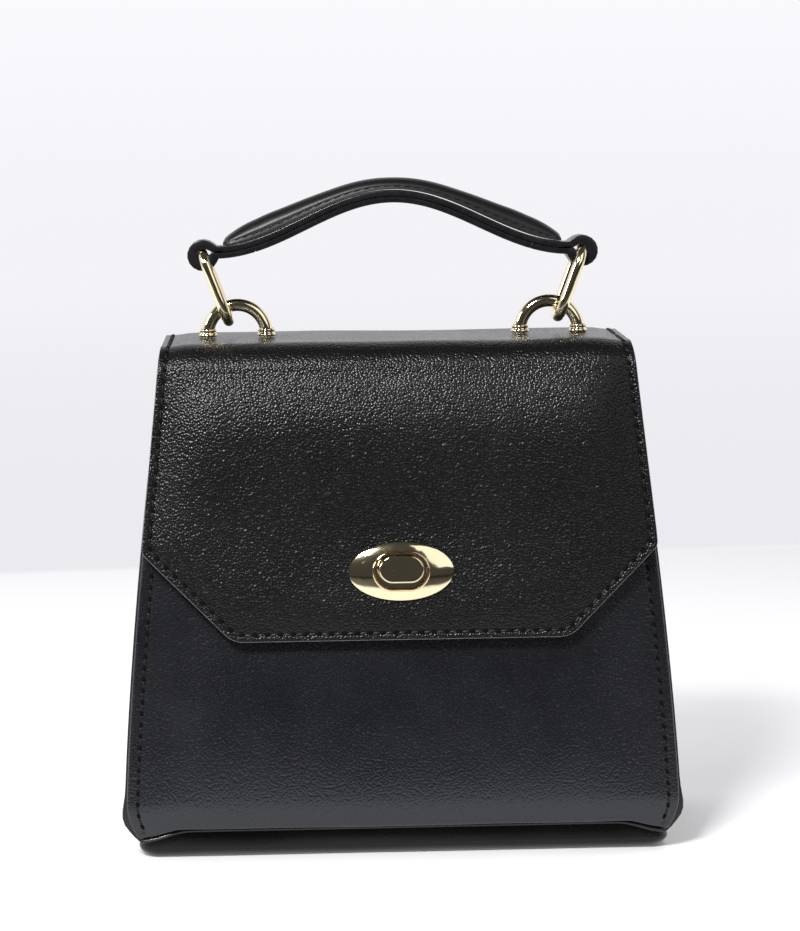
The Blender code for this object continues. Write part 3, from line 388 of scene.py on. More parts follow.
def alone(item):
    """Makes a piece the only one that an operator acts on."""
    bpy.ops.object.select_all(action="DESELECT")
    bpy.context.view_layer.objects.active = item
    item.select_set(True)


def place_in_mesh(item, name):
    """Names a new piece and moves its place and size into its mesh."""
    alone(item)
    bpy.ops.object.transform_apply(location=True, rotation=True, scale=True)
    item.name = item.data.name = name
    return item


def edit(item, operator, kind="FACE", wanted=None, **settings):
    """Runs an edit-mode operator on a whole piece, or on the parts that a test on their points picks."""
    alone(item)
    bpy.ops.object.mode_set(mode="EDIT")
    bpy.ops.mesh.select_mode(type=kind)
    bpy.ops.mesh.select_all(action="DESELECT" if wanted else "SELECT")
    if wanted:
        bpy.ops.object.mode_set(mode="OBJECT")
        points = item.data.vertices
        for part in {"VERT": points, "EDGE": item.data.edges, "FACE": item.data.polygons}[kind]:
            corners = [part] if kind == "VERT" else [points[index] for index in part.vertices]
            part.select = wanted(*(corner.co for corner in corners))
        bpy.ops.object.mode_set(mode="EDIT")
    operator(**settings)
    bpy.ops.object.mode_set(mode="OBJECT")


def score(item, lines, trim=False):
    """Cuts faces along lines, each a (point, direction out) pair; trim also drops what lies outside."""
    alone(item)
    bpy.ops.object.mode_set(mode="EDIT")
    for point, out in lines:
        bpy.ops.mesh.select_all(action="SELECT")
        bpy.ops.mesh.bisect(plane_co=point, plane_no=out, clear_outer=trim)
    bpy.ops.object.mode_set(mode="OBJECT")


def columns(places):
    return [((x, 0, 0), (1, 0, 0)) for x in places]


def rows(places):
    return [((0, y, 0), (0, 1, 0)) for y in places]


def blank(name, width, near, far, across=(), along=()):
    """A flat rectangle with its outer face up, X across it and Y from near to far, scored at places."""
    bpy.ops.object.select_all(action="DESELECT")
    bpy.ops.mesh.primitive_plane_add(size=1, location=(0, (near + far) / 2, 0))
    bpy.context.object.scale = (width, far - near, 1)
    flat = place_in_mesh(bpy.context.object, name)
    score(flat, columns(across) + rows(along))
    return flat


def spread(low, high, count):
    """Evenly spaced values, both ends included."""
    return [low + (high - low) * step / (count - 1) for step in range(count)]


def between(low, high, pitch):
    """Evenly spaced values about a pitch apart, both ends left out."""
    return spread(low, high, max(3, round((high - low) / pitch) + 1))[1:-1]


def change(item, kind, **settings):
    """Adds a modifier, sets it and applies it."""
    alone(item)
    modifier = item.modifiers.new(kind.lower(), kind)
    for name, value in settings.items():
        setattr(modifier, name, value)
    bpy.ops.object.modifier_apply(modifier=modifier.name)


def thicken(item, thickness, rounding, face, edge=None):
    """Gives a flat piece its wall below the bench and round edges, and a finish to face and edge."""
    change(item, "SOLIDIFY", thickness=thickness, offset=-1.0)
    change(item, "BEVEL", width=rounding, segments=3, limit_method="ANGLE", angle_limit=BEVEL_FROM)
    item.data.materials.append(face)
    if edge:
        item.data.materials.append(edge)
        for side in item.data.polygons:
            side.material_index = int(abs(side.normal.z) < FLAT_NORMAL)
    flat = item.data.uv_layers.active or item.data.uv_layers.new(name="flat")
    for corner in item.data.loops:
        flat.data[corner.index].uv = item.data.vertices[corner.vertex_index].co.xy


def above(surface, x, y, lift):
    """Point at a height over a surface, square to it."""
    across = surface(x + PROBE, y) - surface(x - PROBE, y)
    along = surface(x, y + PROBE) - surface(x, y - PROBE)
    return surface(x, y) + across.cross(along).normalized() * lift


def form(item, surface, relief=None, outside=-0.001):
    """Bends a flat piece over a surface. Relief lifts or sinks what lies higher than outside."""
    for vertex in item.data.vertices:
        x, y, lift = vertex.co
        if relief and lift > outside:
            lift += relief(x, y)
        vertex.co = above(surface, x, y, lift)
    smooth(item)


def smooth(item, angle=math.radians(38)):
    alone(item)
    bpy.ops.object.shade_smooth_by_angle(angle=angle)


def ease(low, high, value):
    """0 below low, 1 above high and smooth between them."""
    share = min(1.0, max(0.0, (value - low) / (high - low)))
    return share * share * (3 - 2 * share)


def bowed(value, power):
    """A sine or cosine raised to a power, with its sign kept, which squares or pinches a round."""
    return math.copysign(abs(value) ** power, value)


def follow(stations, at):
    """Value at a place between (place, value) stations."""
    for (near, low), (far, high) in zip(stations, stations[1:]):
        if at <= far:
            return low + (high - low) * max(0.0, at - near) / (far - near)
    return stations[-1][1]


print("bench tools ready")

# %% [markdown]
# Tubes, knobs and domes start from a cylinder instead: it is scored into rings and every ring is then sent to its
# place on the real form. Its skin has no seam, so only rings that meet have to be merged afterwards.

# %% Sleeves
def tube(name, sides, stations, place, ends="NGON"):
    """A tube with a ring for each station; place(turn, station) sends each point to the real form."""
    bpy.ops.object.select_all(action="DESELECT")
    bpy.ops.mesh.primitive_cylinder_add(
        vertices=sides, radius=1, depth=1, end_fill_type=ends, location=(0, 0, 0.5)
    )
    item = place_in_mesh(bpy.context.object, name)
    last = len(stations) - 1
    score(item, [((0, 0, step / last), (0, 0, 1)) for step in range(1, last)])
    for vertex in item.data.vertices:
        x, y, share = vertex.co
        vertex.co = place(math.atan2(y, x), stations[round(share * last)])
    return item


def sleeve(name, sides, stations, place, finish, degrees, ends="NGON"):
    """A finished tube: rings that meet are merged, and edges sharper than some degrees stay crisp."""
    item = tube(name, sides, stations, place, ends)
    item.data.materials.append(finish)
    edit(item, bpy.ops.mesh.remove_doubles, threshold=0.00001)
    edit(item, bpy.ops.mesh.normals_make_consistent, inside=False)
    smooth(item, math.radians(degrees))
    return item


print("sleeves ready")

# %% [markdown]
# Stitches are what make leather goods look sewn. One stitch is modelled as a small lozenge of thread, copied along
# its seam while the seam is still flat, and bent over the form together with the leather that it holds. Each one
# leans a little, as saddle stitches do, and its ends dive into the holes. A small dark piece between each two
# stitches is painted shade for the holes.

# %% Stitches
STITCH_LEAN = math.radians(9)


def walk(points, pitch, phase):
    """(point, heading) places about a pitch apart along a path of flat points."""
    lengths = [(b - a).length for a, b in zip(points, points[1:])]
    count = max(1, round(sum(lengths) / pitch))
    step = sum(lengths) / count
    places, passed, index = [], 0.0, 0
    for number in range(count):
        target = (number + phase) * step
        while passed + lengths[index] < target:
            passed += lengths[index]
            index += 1
        leg = points[index + 1] - points[index]
        spot = points[index] + leg * ((target - passed) / lengths[index])
        places.append((spot, math.atan2(leg.y, leg.x)))
    return places


def stitches(name, paths, pitch, sizes, depth, phase, finish):
    """Rows of stitches along flat paths, sunk to a depth, as one piece."""
    bpy.ops.object.select_all(action="DESELECT")
    bpy.ops.mesh.primitive_uv_sphere_add(segments=8, ring_count=6, radius=0.5)
    first = place_in_mesh(bpy.context.object, name)
    first.data.transform(Matrix.Rotation(math.pi / 2, 4, "Y"))
    first.data.transform(Matrix.Diagonal((*sizes, 1)))
    copies = []
    for path in paths:
        for point, heading in walk([Vector(p) for p in path], pitch, phase):
            copy = bpy.data.objects.new(name, first.data.copy())
            turn = Matrix.Rotation(heading + STITCH_LEAN, 4, "Z")
            copy.data.transform(Matrix.Translation((point.x, point.y, -depth)) @ turn)
            bpy.context.scene.collection.objects.link(copy)
            copies.append(copy)
    bpy.data.objects.remove(first)
    alone(copies[0])
    for copy in copies:
        copy.select_set(True)
    bpy.ops.object.join()
    row = bpy.context.object
    row.name = row.data.name = name
    row.data.materials.append(finish)
    return row


print("stitches ready")

# %% [markdown]
# A piece given one body rides on it, and the solids that a piece covers are hidden. A piece given two bodies
# only has its place baked into its mesh.

# %% Hand a piece over
def hand_over(item, body, slot, *nodes):
    """Ties a piece to one body and hides the solids that it covers; with two bodies and two points it only bakes
    the piece's place into its mesh. Its slot is not used.
    """
    if isinstance(body, str):
        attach(item, body)
    else:
        first, second, start, end = body
        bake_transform(item)
        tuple(start)
        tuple(end)
    if nodes:
        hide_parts(*nodes)
    print(item.name, len(item.data.polygons), "faces")


def sew(word, paths, pitch, stitch, hole_shade, surface, body):
    """Thread along flat paths, with a dark piece between each two stitches as painted shade of the awl holes, bent
    over a surface.
    """
    for kind, (sizes, depth), phase, finish in (
        ("stitches", stitch, 0.5, THREAD), ("holes", hole_shade, 0.0, HOLE_SHADE)
    ):
        seam = stitches(word + kind, paths, pitch, sizes, depth, phase, finish)
        form(seam, surface)
        hand_over(seam, body, "black_leather")


print("pieces can be handed over")

# %% [markdown]
# The body is a box that leans in towards its top. Its front and rear share one rule for depth and one for width, so
# the panels, linings, bindings and piping all follow the same few sizes.

# %% The body's form
TOP_HEIGHT = 0.183
PANEL_TOP = 0.1685
SEAM_HEIGHT = 0.0112
BASE_WIDTH = 0.1976
TOP_WIDTH = 0.1690
BASE_DEPTH = 0.0960
TOP_DEPTH = 0.0620
SIDE_CURVE = 1.4
CORNER_DIP = 0.0034
CORNER_CUT = 0.0042
CORNER_RISE = 0.0125
DIP_START = 0.80
TURN_UNDER = 0.0014
TURN_UNDER_RISE = 0.0100
CUT_MARGIN = 0.008
FRONT, REAR = -1, 1


def side_share(height):
    return max(0.0, (height - SEAM_HEIGHT) / (PANEL_TOP - SEAM_HEIGHT))


def side_line(height):
    """Half the width of the bag at a height."""
    return BASE_WIDTH / 2 - (BASE_WIDTH - TOP_WIDTH) / 2 * side_share(height) ** SIDE_CURVE


def half_width(height):
    """Half the width of the panels, whose lower corners curve in from the side line."""
    cut = max(0.0, 1 - (height - SEAM_HEIGHT + CORNER_DIP) / CORNER_RISE)
    return side_line(height) - CORNER_CUT * cut**2


def half_depth(height):
    """Distance of the panels' outer faces from the middle of the bag."""
    half = BASE_DEPTH / 2 - (BASE_DEPTH - TOP_DEPTH) / 2 * side_share(height)
    rise = max(height - SEAM_HEIGHT, 0.0)
    if rise < TURN_UNDER_RISE:
        half -= TURN_UNDER * (1 - rise / TURN_UNDER_RISE) ** 2
    return half


def inset_depth(height, inset):
    slope = (half_depth(height + PROBE) - half_depth(height)) / PROBE
    return half_depth(height) - inset * math.sqrt(1 + slope * slope)


def seam_line(share):
    """Height of a panel's lower edge, which dips towards its corners."""
    return SEAM_HEIGHT - CORNER_DIP * ease(DIP_START, 1, abs(share))


def widen(x, flat_half, half):
    """Fits a flat width to the real one, with the margins beside the edges left as they were cut."""
    edge = flat_half - abs(x)
    if edge < CUT_MARGIN:
        return math.copysign(half - edge, x)
    return x * (half - CUT_MARGIN) / (flat_half - CUT_MARGIN)


def soften(place, amount, size, seed):
    """A slow rise and fall of the leather, the same each run."""
    return amount * noise.noise(Vector(place) / size + Vector((seed, seed, seed)))


print("body form:", round(2000 * side_line(SEAM_HEIGHT), 1), "mm wide at its base")

# %% [markdown]
# The front and rear panels are leather over stiffening with their edges folded in, so the edge is fat and round.
# Each is scored closely beside its edges, where the fold and the stitched groove are, and loosely in the middle.

# %% Panels
PANEL_THICK = 0.0026
PANEL_ROUNDING = 0.00105
PANEL_SEAM_MARGIN = 0.0039
PANEL_PITCH = 0.0040
GROOVE_WIDTH = 0.0007
PANEL_GROOVE = 0.00022
PANEL_BELLY = 0.0030
BELLY_HEIGHT = 0.0310
BELLY_REACH = 0.0300
EDGE_LADDER = (0.0012, 0.0020, 0.0027, 0.0033, 0.0039, 0.0045, 0.0051, 0.0060, 0.0080, 0.0110)
FOOT_HEIGHT = SEAM_HEIGHT + 0.014
HEAD_HEIGHT = PANEL_TOP - 0.0015
PANEL_STITCH = ((0.0027, 0.00085, 0.00060), 0.00035)
PANEL_HOLE_SHADE = ((0.0021, 0.0014, 0.0008), 0.00034)


def groove(distance, centre, depth, width=GROOVE_WIDTH):
    """How far a pulled seam sinks the leather at some distance from an edge."""
    return -depth * math.exp(-(((distance - centre) / width) ** 2))


def panel_surface(side):
    half = BASE_WIDTH / 2

    def place(x, y):
        low = seam_line(x / half)
        height = low + (y - SEAM_HEIGHT) * (PANEL_TOP - low) / (PANEL_TOP - SEAM_HEIGHT)
        return Vector((-side * widen(x, half, half_width(height)), side * half_depth(height), height))

    return place


def panel_relief(x, y, seed):
    """The seam is pulled in near the edge, and the leather swells in a soft belly over the foot."""
    edge = BASE_WIDTH / 2 - abs(x)
    pull = ease(0.002, 0.010, edge)
    reach = BELLY_REACH if y < BELLY_HEIGHT else 2 * BELLY_REACH
    belly = PANEL_BELLY * math.exp(-(((y - BELLY_HEIGHT) / reach) ** 2)) * ease(0.002, 0.030, edge)
    calm = soften((x, y, 0), 0.00035, 0.045, seed) * ease(0.0, 0.02, edge)
    return groove(edge, PANEL_SEAM_MARGIN, PANEL_GROOVE) - 0.0003 * (1 - pull) + calm + belly


def make_panel(side, word, seed):
    half = BASE_WIDTH / 2
    side_scores = [way * (half - step) for way in (-1, 1) for step in EDGE_LADDER]
    middle_scores = between(EDGE_LADDER[-1] - half, half - EDGE_LADDER[-1], 0.005)
    foot_scores = between(SEAM_HEIGHT, FOOT_HEIGHT, 0.0010) + [FOOT_HEIGHT]
    wall_scores = between(FOOT_HEIGHT, HEAD_HEIGHT, 0.004) + [HEAD_HEIGHT]
    panel = blank(
        word + "_panel_leather", BASE_WIDTH, SEAM_HEIGHT, PANEL_TOP,
        side_scores + middle_scores, foot_scores + wall_scores,
    )
    thicken(panel, PANEL_THICK, PANEL_ROUNDING, BODY_LEATHER)
    form(panel, panel_surface(side), lambda x, y: panel_relief(x, y, seed))
    hand_over(panel, "body", "black_leather", word + "_panel")
    seam = half - PANEL_SEAM_MARGIN
    paths = [[(x, SEAM_HEIGHT + 0.004), (x, PANEL_TOP - 0.003)] for x in (-seam, seam)]
    sew(word + "_panel_", paths, PANEL_PITCH, PANEL_STITCH, PANEL_HOLE_SHADE, panel_surface(side), "body")


make_panel(FRONT, "front", 1.3)
make_panel(REAR, "rear", 4.1)

# %% [markdown]
# A gusset is a creased strip of leather with a flange turned out behind each panel's margin. Its section is a bent
# line; averaging that line over a short window rounds every bend by the same amount, as soft leather does.

# %% Gussets
GUSSET_THICK = 0.0018
FLANGE_WIDTH = 0.0070
FLANGE_PROUD = 0.0008
FLANGE_BULGE = 0.0016
FLANGE_BULGE_HEIGHT = 0.0135
FLANGE_DROP = 0.0040
GUSSET_CREASE = 0.0080
GUSSET_TOP = 0.1665
GUSSET_FOOT = 0.0099
GUSSET_BEND = 0.0030
BINDING_HEIGHT = 0.0030
GAP = 0.0003
SLACK = 0.0006


def web_line(height):
    return side_line(height) - FLANGE_WIDTH


def crease_depth(height):
    return GUSSET_CREASE * side_share(height) ** SIDE_CURVE


def gusset_line(height):
    """Corners of the gusset's outer face at a height, as (x, y), front to rear."""
    depth = inset_depth(height, PANEL_THICK + GAP) - GUSSET_THICK
    web = web_line(height) + GUSSET_THICK
    bulge = FLANGE_BULGE * math.exp(-(((height - FLANGE_BULGE_HEIGHT) / 0.006) ** 2))
    tip = half_width(height) + FLANGE_PROUD + bulge
    return [(tip, -depth), (web, -depth), (web - crease_depth(height), 0), (web, depth), (tip, depth)]


def along_line(corners, share, window):
    """Point at a share of the way along a bent line whose bends are rounded over a window."""
    corners = [Vector(corner) for corner in corners]
    lengths = [(b - a).length for a, b in zip(corners, corners[1:])]
    total = sum(lengths)
    samples = 9
    spot = Vector((0, 0))
    for sample in range(samples):
        at = share * total + window * (sample / (samples - 1) - 0.5)
        index, passed = 0, 0.0
        while index < len(lengths) - 1 and passed + lengths[index] < at:
            passed += lengths[index]
            index += 1
        leg = (corners[index + 1] - corners[index]).normalized()
        spot += corners[index] + leg * (at - passed)
    return spot / samples


GUSSET_SPAN = 0.1


def gusset_surface(side):
    def place(x, y):
        share = x / GUSSET_SPAN
        height = y - FLANGE_DROP * ease(0.42, 0.47, abs(share)) * ease(0.030, GUSSET_FOOT, y)
        spot = along_line(gusset_line(height), share + 0.5, GUSSET_BEND)
        return Vector((side * spot.x, side * spot.y, height))

    return place


def make_gusset(side, word, seed):
    half = GUSSET_SPAN / 2
    bend_scores = between(-half, half, 0.0012)
    heights = between(GUSSET_FOOT, 0.035, 0.002) + between(0.033, GUSSET_TOP, 0.005)
    gusset = blank(
        word + "_gusset_leather", GUSSET_SPAN, GUSSET_FOOT, GUSSET_TOP, bend_scores, heights
    )
    thicken(gusset, GUSSET_THICK, 0.0004, SIDE_LEATHER, EDGE_PAINT)
    free = lambda x: ease(0.5, 0.34, abs(x) / GUSSET_SPAN)
    form(gusset, gusset_surface(side), lambda x, y: soften((x, y, 0), 0.0006, 0.030, seed) * free(x))
    hand_over(gusset, "body", "black_leather", word + "_gusset")
    low = GUSSET_TOP + GAP
    high = low + BINDING_HEIGHT
    binding = blank(word + "_binding_leather", GUSSET_SPAN, low, high, bend_scores)
    thicken(binding, GUSSET_THICK, 0.0006, BINDING)
    form(binding, gusset_surface(side))
    hand_over(binding, "body", "olive_binding", word + "_gusset_binding")


make_gusset(-1, "left", 7.7)
make_gusset(1, "right", 2.9)

# %% [markdown]
# The base is a shallow leather tray that the walls are sewn to. A block with bevelled uprights and a bevelled lower
# edge gives its rounded corners; opening its top and thickening what is left makes the tray.

# %% Base tray
BASE_THICK = 0.0020
TRAY_MARGIN = 0.0009
TRAY_HEIGHT = 0.0096
TRAY_WIDTH = 2 * (web_line(SEAM_HEIGHT) + GUSSET_THICK + TRAY_MARGIN)
TRAY_DEPTH = 2 * (half_depth(SEAM_HEIGHT) - PANEL_THICK - SLACK)
TRAY_CORNER = 0.0070
TRAY_EDGE = 0.0042
TRAY_LEAN = 0.0013


def make_tray():
    bpy.ops.object.select_all(action="DESELECT")
    bpy.ops.mesh.primitive_cube_add(size=1, location=(0, 0, TRAY_HEIGHT / 2))
    bpy.context.object.scale = (TRAY_WIDTH, TRAY_DEPTH, TRAY_HEIGHT)
    tray = place_in_mesh(bpy.context.object, "base_tray_leather")
    upright = lambda a, b: abs(a.z - b.z) > TRAY_HEIGHT / 2
    edit(tray, bpy.ops.mesh.bevel, "EDGE", upright, offset=TRAY_CORNER, segments=10)
    under = lambda a, b: max(a.z, b.z) < PROBE
    edit(tray, bpy.ops.mesh.bevel, "EDGE", under, offset=TRAY_EDGE, segments=7)
    lid = lambda *corners: min(corner.z for corner in corners) > TRAY_HEIGHT - PROBE
    edit(tray, bpy.ops.mesh.delete, "FACE", lid, type="FACE")
    score(tray, columns(between(-TRAY_WIDTH / 2, TRAY_WIDTH / 2, 0.006)))
    score(tray, rows(between(-TRAY_DEPTH / 2, TRAY_DEPTH / 2, 0.006)))
    thicken(tray, BASE_THICK, 0.0005, BASE_LEATHER)
    for vertex in tray.data.vertices:
        lift = ease(0, TRAY_EDGE, vertex.co.z)
        lean = TRAY_LEAN * (0.6 - ease(TRAY_EDGE * 0.6, TRAY_HEIGHT, vertex.co.z))
        push = (soften(vertex.co, 0.0006, 0.025, 5.5) + lean) * lift
        vertex.co += Vector((vertex.co.x / TRAY_WIDTH, vertex.co.y / TRAY_DEPTH, 0)) * 2 * push
    smooth(tray)
    hand_over(tray, "body", "black_leather", "base_panel")


make_tray()

# %% [markdown]
# Under each panel a thin leather cord is sewn into the seam. It is a tube whose middle line follows the panel's
# dipped lower edge.

# %% Piping
PIPING_RADIUS = 0.0006
PIPING_END = 0.0016


def lay_along(path, radius, share, turn):
    """Point on a round tube whose middle line is path(share), which keeps off the Y direction."""
    ahead = (path(min(1, share + 0.002)) - path(max(0, share - 0.002))).normalized()
    up = ahead.cross(Vector((0, 1, 0))).normalized()
    return path(share) + radius * (math.cos(turn) * ahead.cross(up) + math.sin(turn) * up)


def make_piping(side, word):
    def path(share):
        across = 2 * share - 1
        seam = seam_line(across)
        depth = side * (half_depth(seam) - PANEL_THICK / 2)
        return Vector((across * (half_width(seam) - PIPING_END), depth, seam - PIPING_RADIUS - GAP))

    place = lambda turn, share: lay_along(path, PIPING_RADIUS, share, turn)
    cord = sleeve(word + "_piping_cord", 12, spread(0, 1, 90), place, EDGE_PAINT, 38)
    hand_over(cord, "body", "black_edge", word + "_piping")


make_piping(FRONT, "front")
make_piping(REAR, "rear")

# %% [markdown]
# The linings are thin cloth leaves behind the leather. One function cuts a leaf, turns a narrow hem at its upper
# edge and hangs it at its own depth behind a wall.

# %% Linings
LINING_THICK = 0.0008
LINING_INSET = PANEL_THICK + GAP
LINING_BACK = LINING_INSET + LINING_THICK
LINING_LOW = 0.0240
SIDE_LINING_LOW = 0.0140
POCKET_WIDTH = 0.1000
POCKET_LOW = 0.0620
POCKET_HIGH = 0.1350
POCKET_THICK = 0.0012
HEM = 0.0045
HEM_GROOVE = 0.00012
CLOTH_EDGE = 0.0002
LEAF_PITCH = 0.006


def lining_span(height):
    return web_line(height) - 2 * SLACK - LINING_THICK


def wall_surface(side, inset, flat_half, span):
    """Surface of a leaf behind the front or rear panel: span gives half its width at a height."""
    return lambda x, y: Vector((-side * x / flat_half * span(y), side * inset_depth(y, inset), y))


def make_leaf(name, node, side, inset, thickness, low, high, flat_half, span, seed):
    heights = between(low, high - 2 * HEM, LEAF_PITCH) + between(high - 2 * HEM, high, 0.0006)
    widths = between(-flat_half, flat_half, LEAF_PITCH)
    leaf = blank(name, 2 * flat_half, low, high, widths, heights)
    thicken(leaf, thickness, CLOTH_EDGE, LINING)

    def relief(x, y):
        return groove(high - y, HEM, HEM_GROOVE, 0.0005) + soften((x, y, 0), 0.00015, 0.020, seed)

    form(leaf, wall_surface(side, inset, flat_half, span), relief, -thickness / 2)
    hand_over(leaf, "body", "lining_cloth", node)


def make_side_lining(side, word):
    def place(x, y):
        depth = inset_depth(y, LINING_BACK) - SLACK
        web = web_line(y) - SLACK
        corners = [(web, -depth), (web - crease_depth(y), 0), (web, depth)]
        spot = along_line(corners, x / GUSSET_SPAN + 0.5, GUSSET_BEND)
        return Vector((side * spot.x, side * spot.y, y))

    low, high, half = SIDE_LINING_LOW, GUSSET_TOP, GUSSET_SPAN / 2
    lining = blank(
        word + "_lining_cloth", 2 * half, low, high,
        between(-half, half, 0.003), between(low, high, 0.005),
    )
    thicken(lining, LINING_THICK, CLOTH_EDGE, LINING)
    form(lining, place)
    hand_over(lining, "body", "lining_cloth", word + "_lining")


for word, side, seed in (("front", FRONT, 3.3), ("rear", REAR, 6.1)):
    make_leaf(
        word + "_lining_cloth", word + "_lining", side, LINING_INSET, LINING_THICK,
        LINING_LOW, PANEL_TOP, lining_span(LINING_LOW), lining_span, seed,
    )
make_leaf(
    "pocket_cloth", "slip_pocket", REAR, LINING_BACK + GAP, POCKET_THICK,
    POCKET_LOW, POCKET_HIGH, POCKET_WIDTH / 2, lambda height: POCKET_WIDTH / 2, 8.2,
)
make_side_lining(-1, "left")
make_side_lining(1, "right")

# %% [markdown]
# A strip of leather binds the upper edge of the front panel and its lining together, and a cloth leaf covers the
# board in the base.

# %% Top binding and base lining
TOP_BINDING_HEIGHT = 0.0024
PANEL_LEAN = math.atan2((BASE_DEPTH - TOP_DEPTH) / 2, PANEL_TOP - SEAM_HEIGHT)
BASE_LINING_THICK = 0.0009


def make_top_binding():
    low = PANEL_TOP + GAP + LINING_BACK * math.sin(PANEL_LEAN)
    high = low + TOP_BINDING_HEIGHT
    half = lining_span(low)
    scores = between(-half, half, LEAF_PITCH)
    binding = blank("front_binding_leather", 2 * half, low, high, scores)
    thicken(binding, LINING_BACK, 0.0009, BODY_LEATHER)
    form(binding, wall_surface(FRONT, 0, half, lining_span))
    hand_over(binding, "body", "black_leather", "front_top_binding")


def make_base_lining():
    low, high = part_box("base_lining")
    width = high.x - low.x
    cloth = blank("base_lining_cloth", width, low.y, high.y)
    corner = TRAY_CORNER - BASE_THICK
    edit(cloth, bpy.ops.mesh.bevel, "VERT", offset=corner, segments=6, affect="VERTICES")
    score(cloth, columns(between(-width / 2, width / 2, 0.008)) + rows(between(low.y, high.y, 0.008)))
    thicken(cloth, BASE_LINING_THICK, CLOTH_EDGE, LINING)
    relief = lambda x, y: soften((x, y, 0), 0.0001, 0.02, 2.2)
    form(cloth, lambda x, y: Vector((x, y, high.z)), relief)
    hand_over(cloth, "body", "lining_cloth", "base_lining")


make_top_binding()
make_base_lining()

# %% [markdown]
# The flap is one piece of leather: it starts sewn to the rear panel, rolls over the top and hangs down the front.
# It is cut flat to its outline, with the same lines a maker would mark round its edge for the groove and the paint,
# and bent over the top in one go, so that grain, groove and stitches run round both rolls without a break.

# %% The flap's form
FLAP_THICK = 0.0024
ROLL_RADIUS = 0.0120
FOLD_HEIGHT = TOP_HEIGHT - ROLL_RADIUS
FLAP_FOLD_PROUD = 0.0053
FLAP_LEAN = math.radians(7.679)
FLAP_FRONT_DEPTH = half_depth(FOLD_HEIGHT) + FLAP_FOLD_PROUD
REAR_DEPTH = half_depth(FOLD_HEIGHT) + GAP + FLAP_THICK
FLAP_TOP_HALF = 0.0838
FLAP_FOLD_HALF = 0.0853
FLAP_CORNER_HALF = 0.0917
FLAP_CORNER_HEIGHT = 0.1098
FLAP_EDGE_HEIGHT = 0.0782
TOP_SLANT = 0.022
BAND_LOW = 0.1387
BAND_END_HALF = 0.0798

flat_top = (FLAP_FRONT_DEPTH + REAR_DEPTH) / 2 - ROLL_RADIUS
top_middle = (REAR_DEPTH - FLAP_FRONT_DEPTH) / 2
front_turn = math.pi / 2 - FLAP_LEAN
rear_turn = math.pi / 2 - PANEL_LEAN


def drop_to(height, lean):
    """Distance along the flap from the start of a roll down to a height."""
    turn = math.pi / 2 - lean
    straight = (FOLD_HEIGHT + ROLL_RADIUS * math.cos(turn) - height) / math.cos(lean)
    return ROLL_RADIUS * turn + straight


FLAP_NEAR = -flat_top - drop_to(FLAP_EDGE_HEIGHT, FLAP_LEAN)
FLAP_CORNER = -flat_top - drop_to(FLAP_CORNER_HEIGHT, FLAP_LEAN)
FLAP_FOLD = -flat_top - drop_to(FOLD_HEIGHT, FLAP_LEAN)
FLAP_FAR = flat_top + drop_to(BAND_LOW, PANEL_LEAN)
FLAP_BACK_FOLD = flat_top + drop_to(FOLD_HEIGHT, PANEL_LEAN)
FLAP_WIDTHS = (
    (FLAP_CORNER, FLAP_CORNER_HALF),
    (FLAP_FOLD, FLAP_FOLD_HALF),
    (-flat_top, FLAP_TOP_HALF),
    (FLAP_BACK_FOLD, FLAP_TOP_HALF),
    (FLAP_FAR, BAND_END_HALF),
)


def flap_half(y):
    window = 0.006
    return sum(follow(FLAP_WIDTHS, y + window * step) for step in (-1, -0.5, 0, 0.5, 1)) / 5


def flap_surface(x, y):
    """The flap's outer face: y is 0 at the middle of the top and negative towards the front."""
    front = y < 0
    way = -1 if front else 1
    turn_limit = front_turn if front else rear_turn
    past = abs(y) - flat_top
    depth, height = top_middle + y, TOP_HEIGHT
    if past > 0:
        turn = min(past / ROLL_RADIUS, turn_limit)
        straight = past - turn * ROLL_RADIUS
        reach = flat_top + ROLL_RADIUS * math.sin(turn) + straight * math.cos(turn)
        depth = top_middle + way * reach
        height = FOLD_HEIGHT + ROLL_RADIUS * math.cos(turn) - straight * math.sin(turn)
    height += TOP_SLANT * (depth - top_middle) * ease(FOLD_HEIGHT, TOP_HEIGHT, height)
    return Vector((widen(x, FLAP_CORNER_HALF, flap_half(y)), depth, height))


def flap_edge_distance(x, y):
    """Distance of a flat point from the flap's cut edge."""
    cut = (FLAP_CORNER_HALF - abs(x) + y - FLAP_CORNER) / math.sqrt(2)
    return min(FLAP_CORNER_HALF - abs(x), y - FLAP_NEAR, FLAP_FAR - y, cut)


FLAP_SEAM_MARGIN = 0.0026
FLAP_GROOVE = 0.00030
FLAP_BORDER_SINK = 0.00080
FLAP_PUFF = 0.0030
PUFF_REACH = 0.022
PUFF_FALL = 0.75
DIMPLE_WIDTH = 0.0260
DIMPLE_HEIGHT = 0.0155
FLAP_ROLL_END = -flat_top - front_turn * ROLL_RADIUS
LOCK_HEIGHT = 0.1022
FLAP_LOCK = -flat_top - drop_to(LOCK_HEIGHT, FLAP_LEAN)


def flap_puff(x, y):
    """The hanging leather swells below the roll, but not where the lock holds it down."""
    way = max(0.0, FLAP_ROLL_END - y)
    rise = 1 - (1 - min(1.0, way / PUFF_REACH)) ** 2
    fall = 1 - PUFF_FALL * ease(0.018, 0.060, way)
    from_lock = math.hypot(x / DIMPLE_WIDTH, (y - FLAP_LOCK) / DIMPLE_HEIGHT)
    return FLAP_PUFF * rise * fall * ease(0.8, 1.9, from_lock)


def flap_relief(x, y):
    """The border is pulled down by its seam, and the leather between the seams rises and softens."""
    edge = flap_edge_distance(x, y)
    border = -FLAP_BORDER_SINK * (1 - ease(0.0030, 0.0110, edge))
    free = ease(0.003, 0.020, edge)
    swell = soften((x, y, 0), 0.00050, 0.040, 3.7) + flap_puff(x, y)
    return border + groove(edge, FLAP_SEAM_MARGIN, FLAP_GROOVE, 0.0006) + swell * free


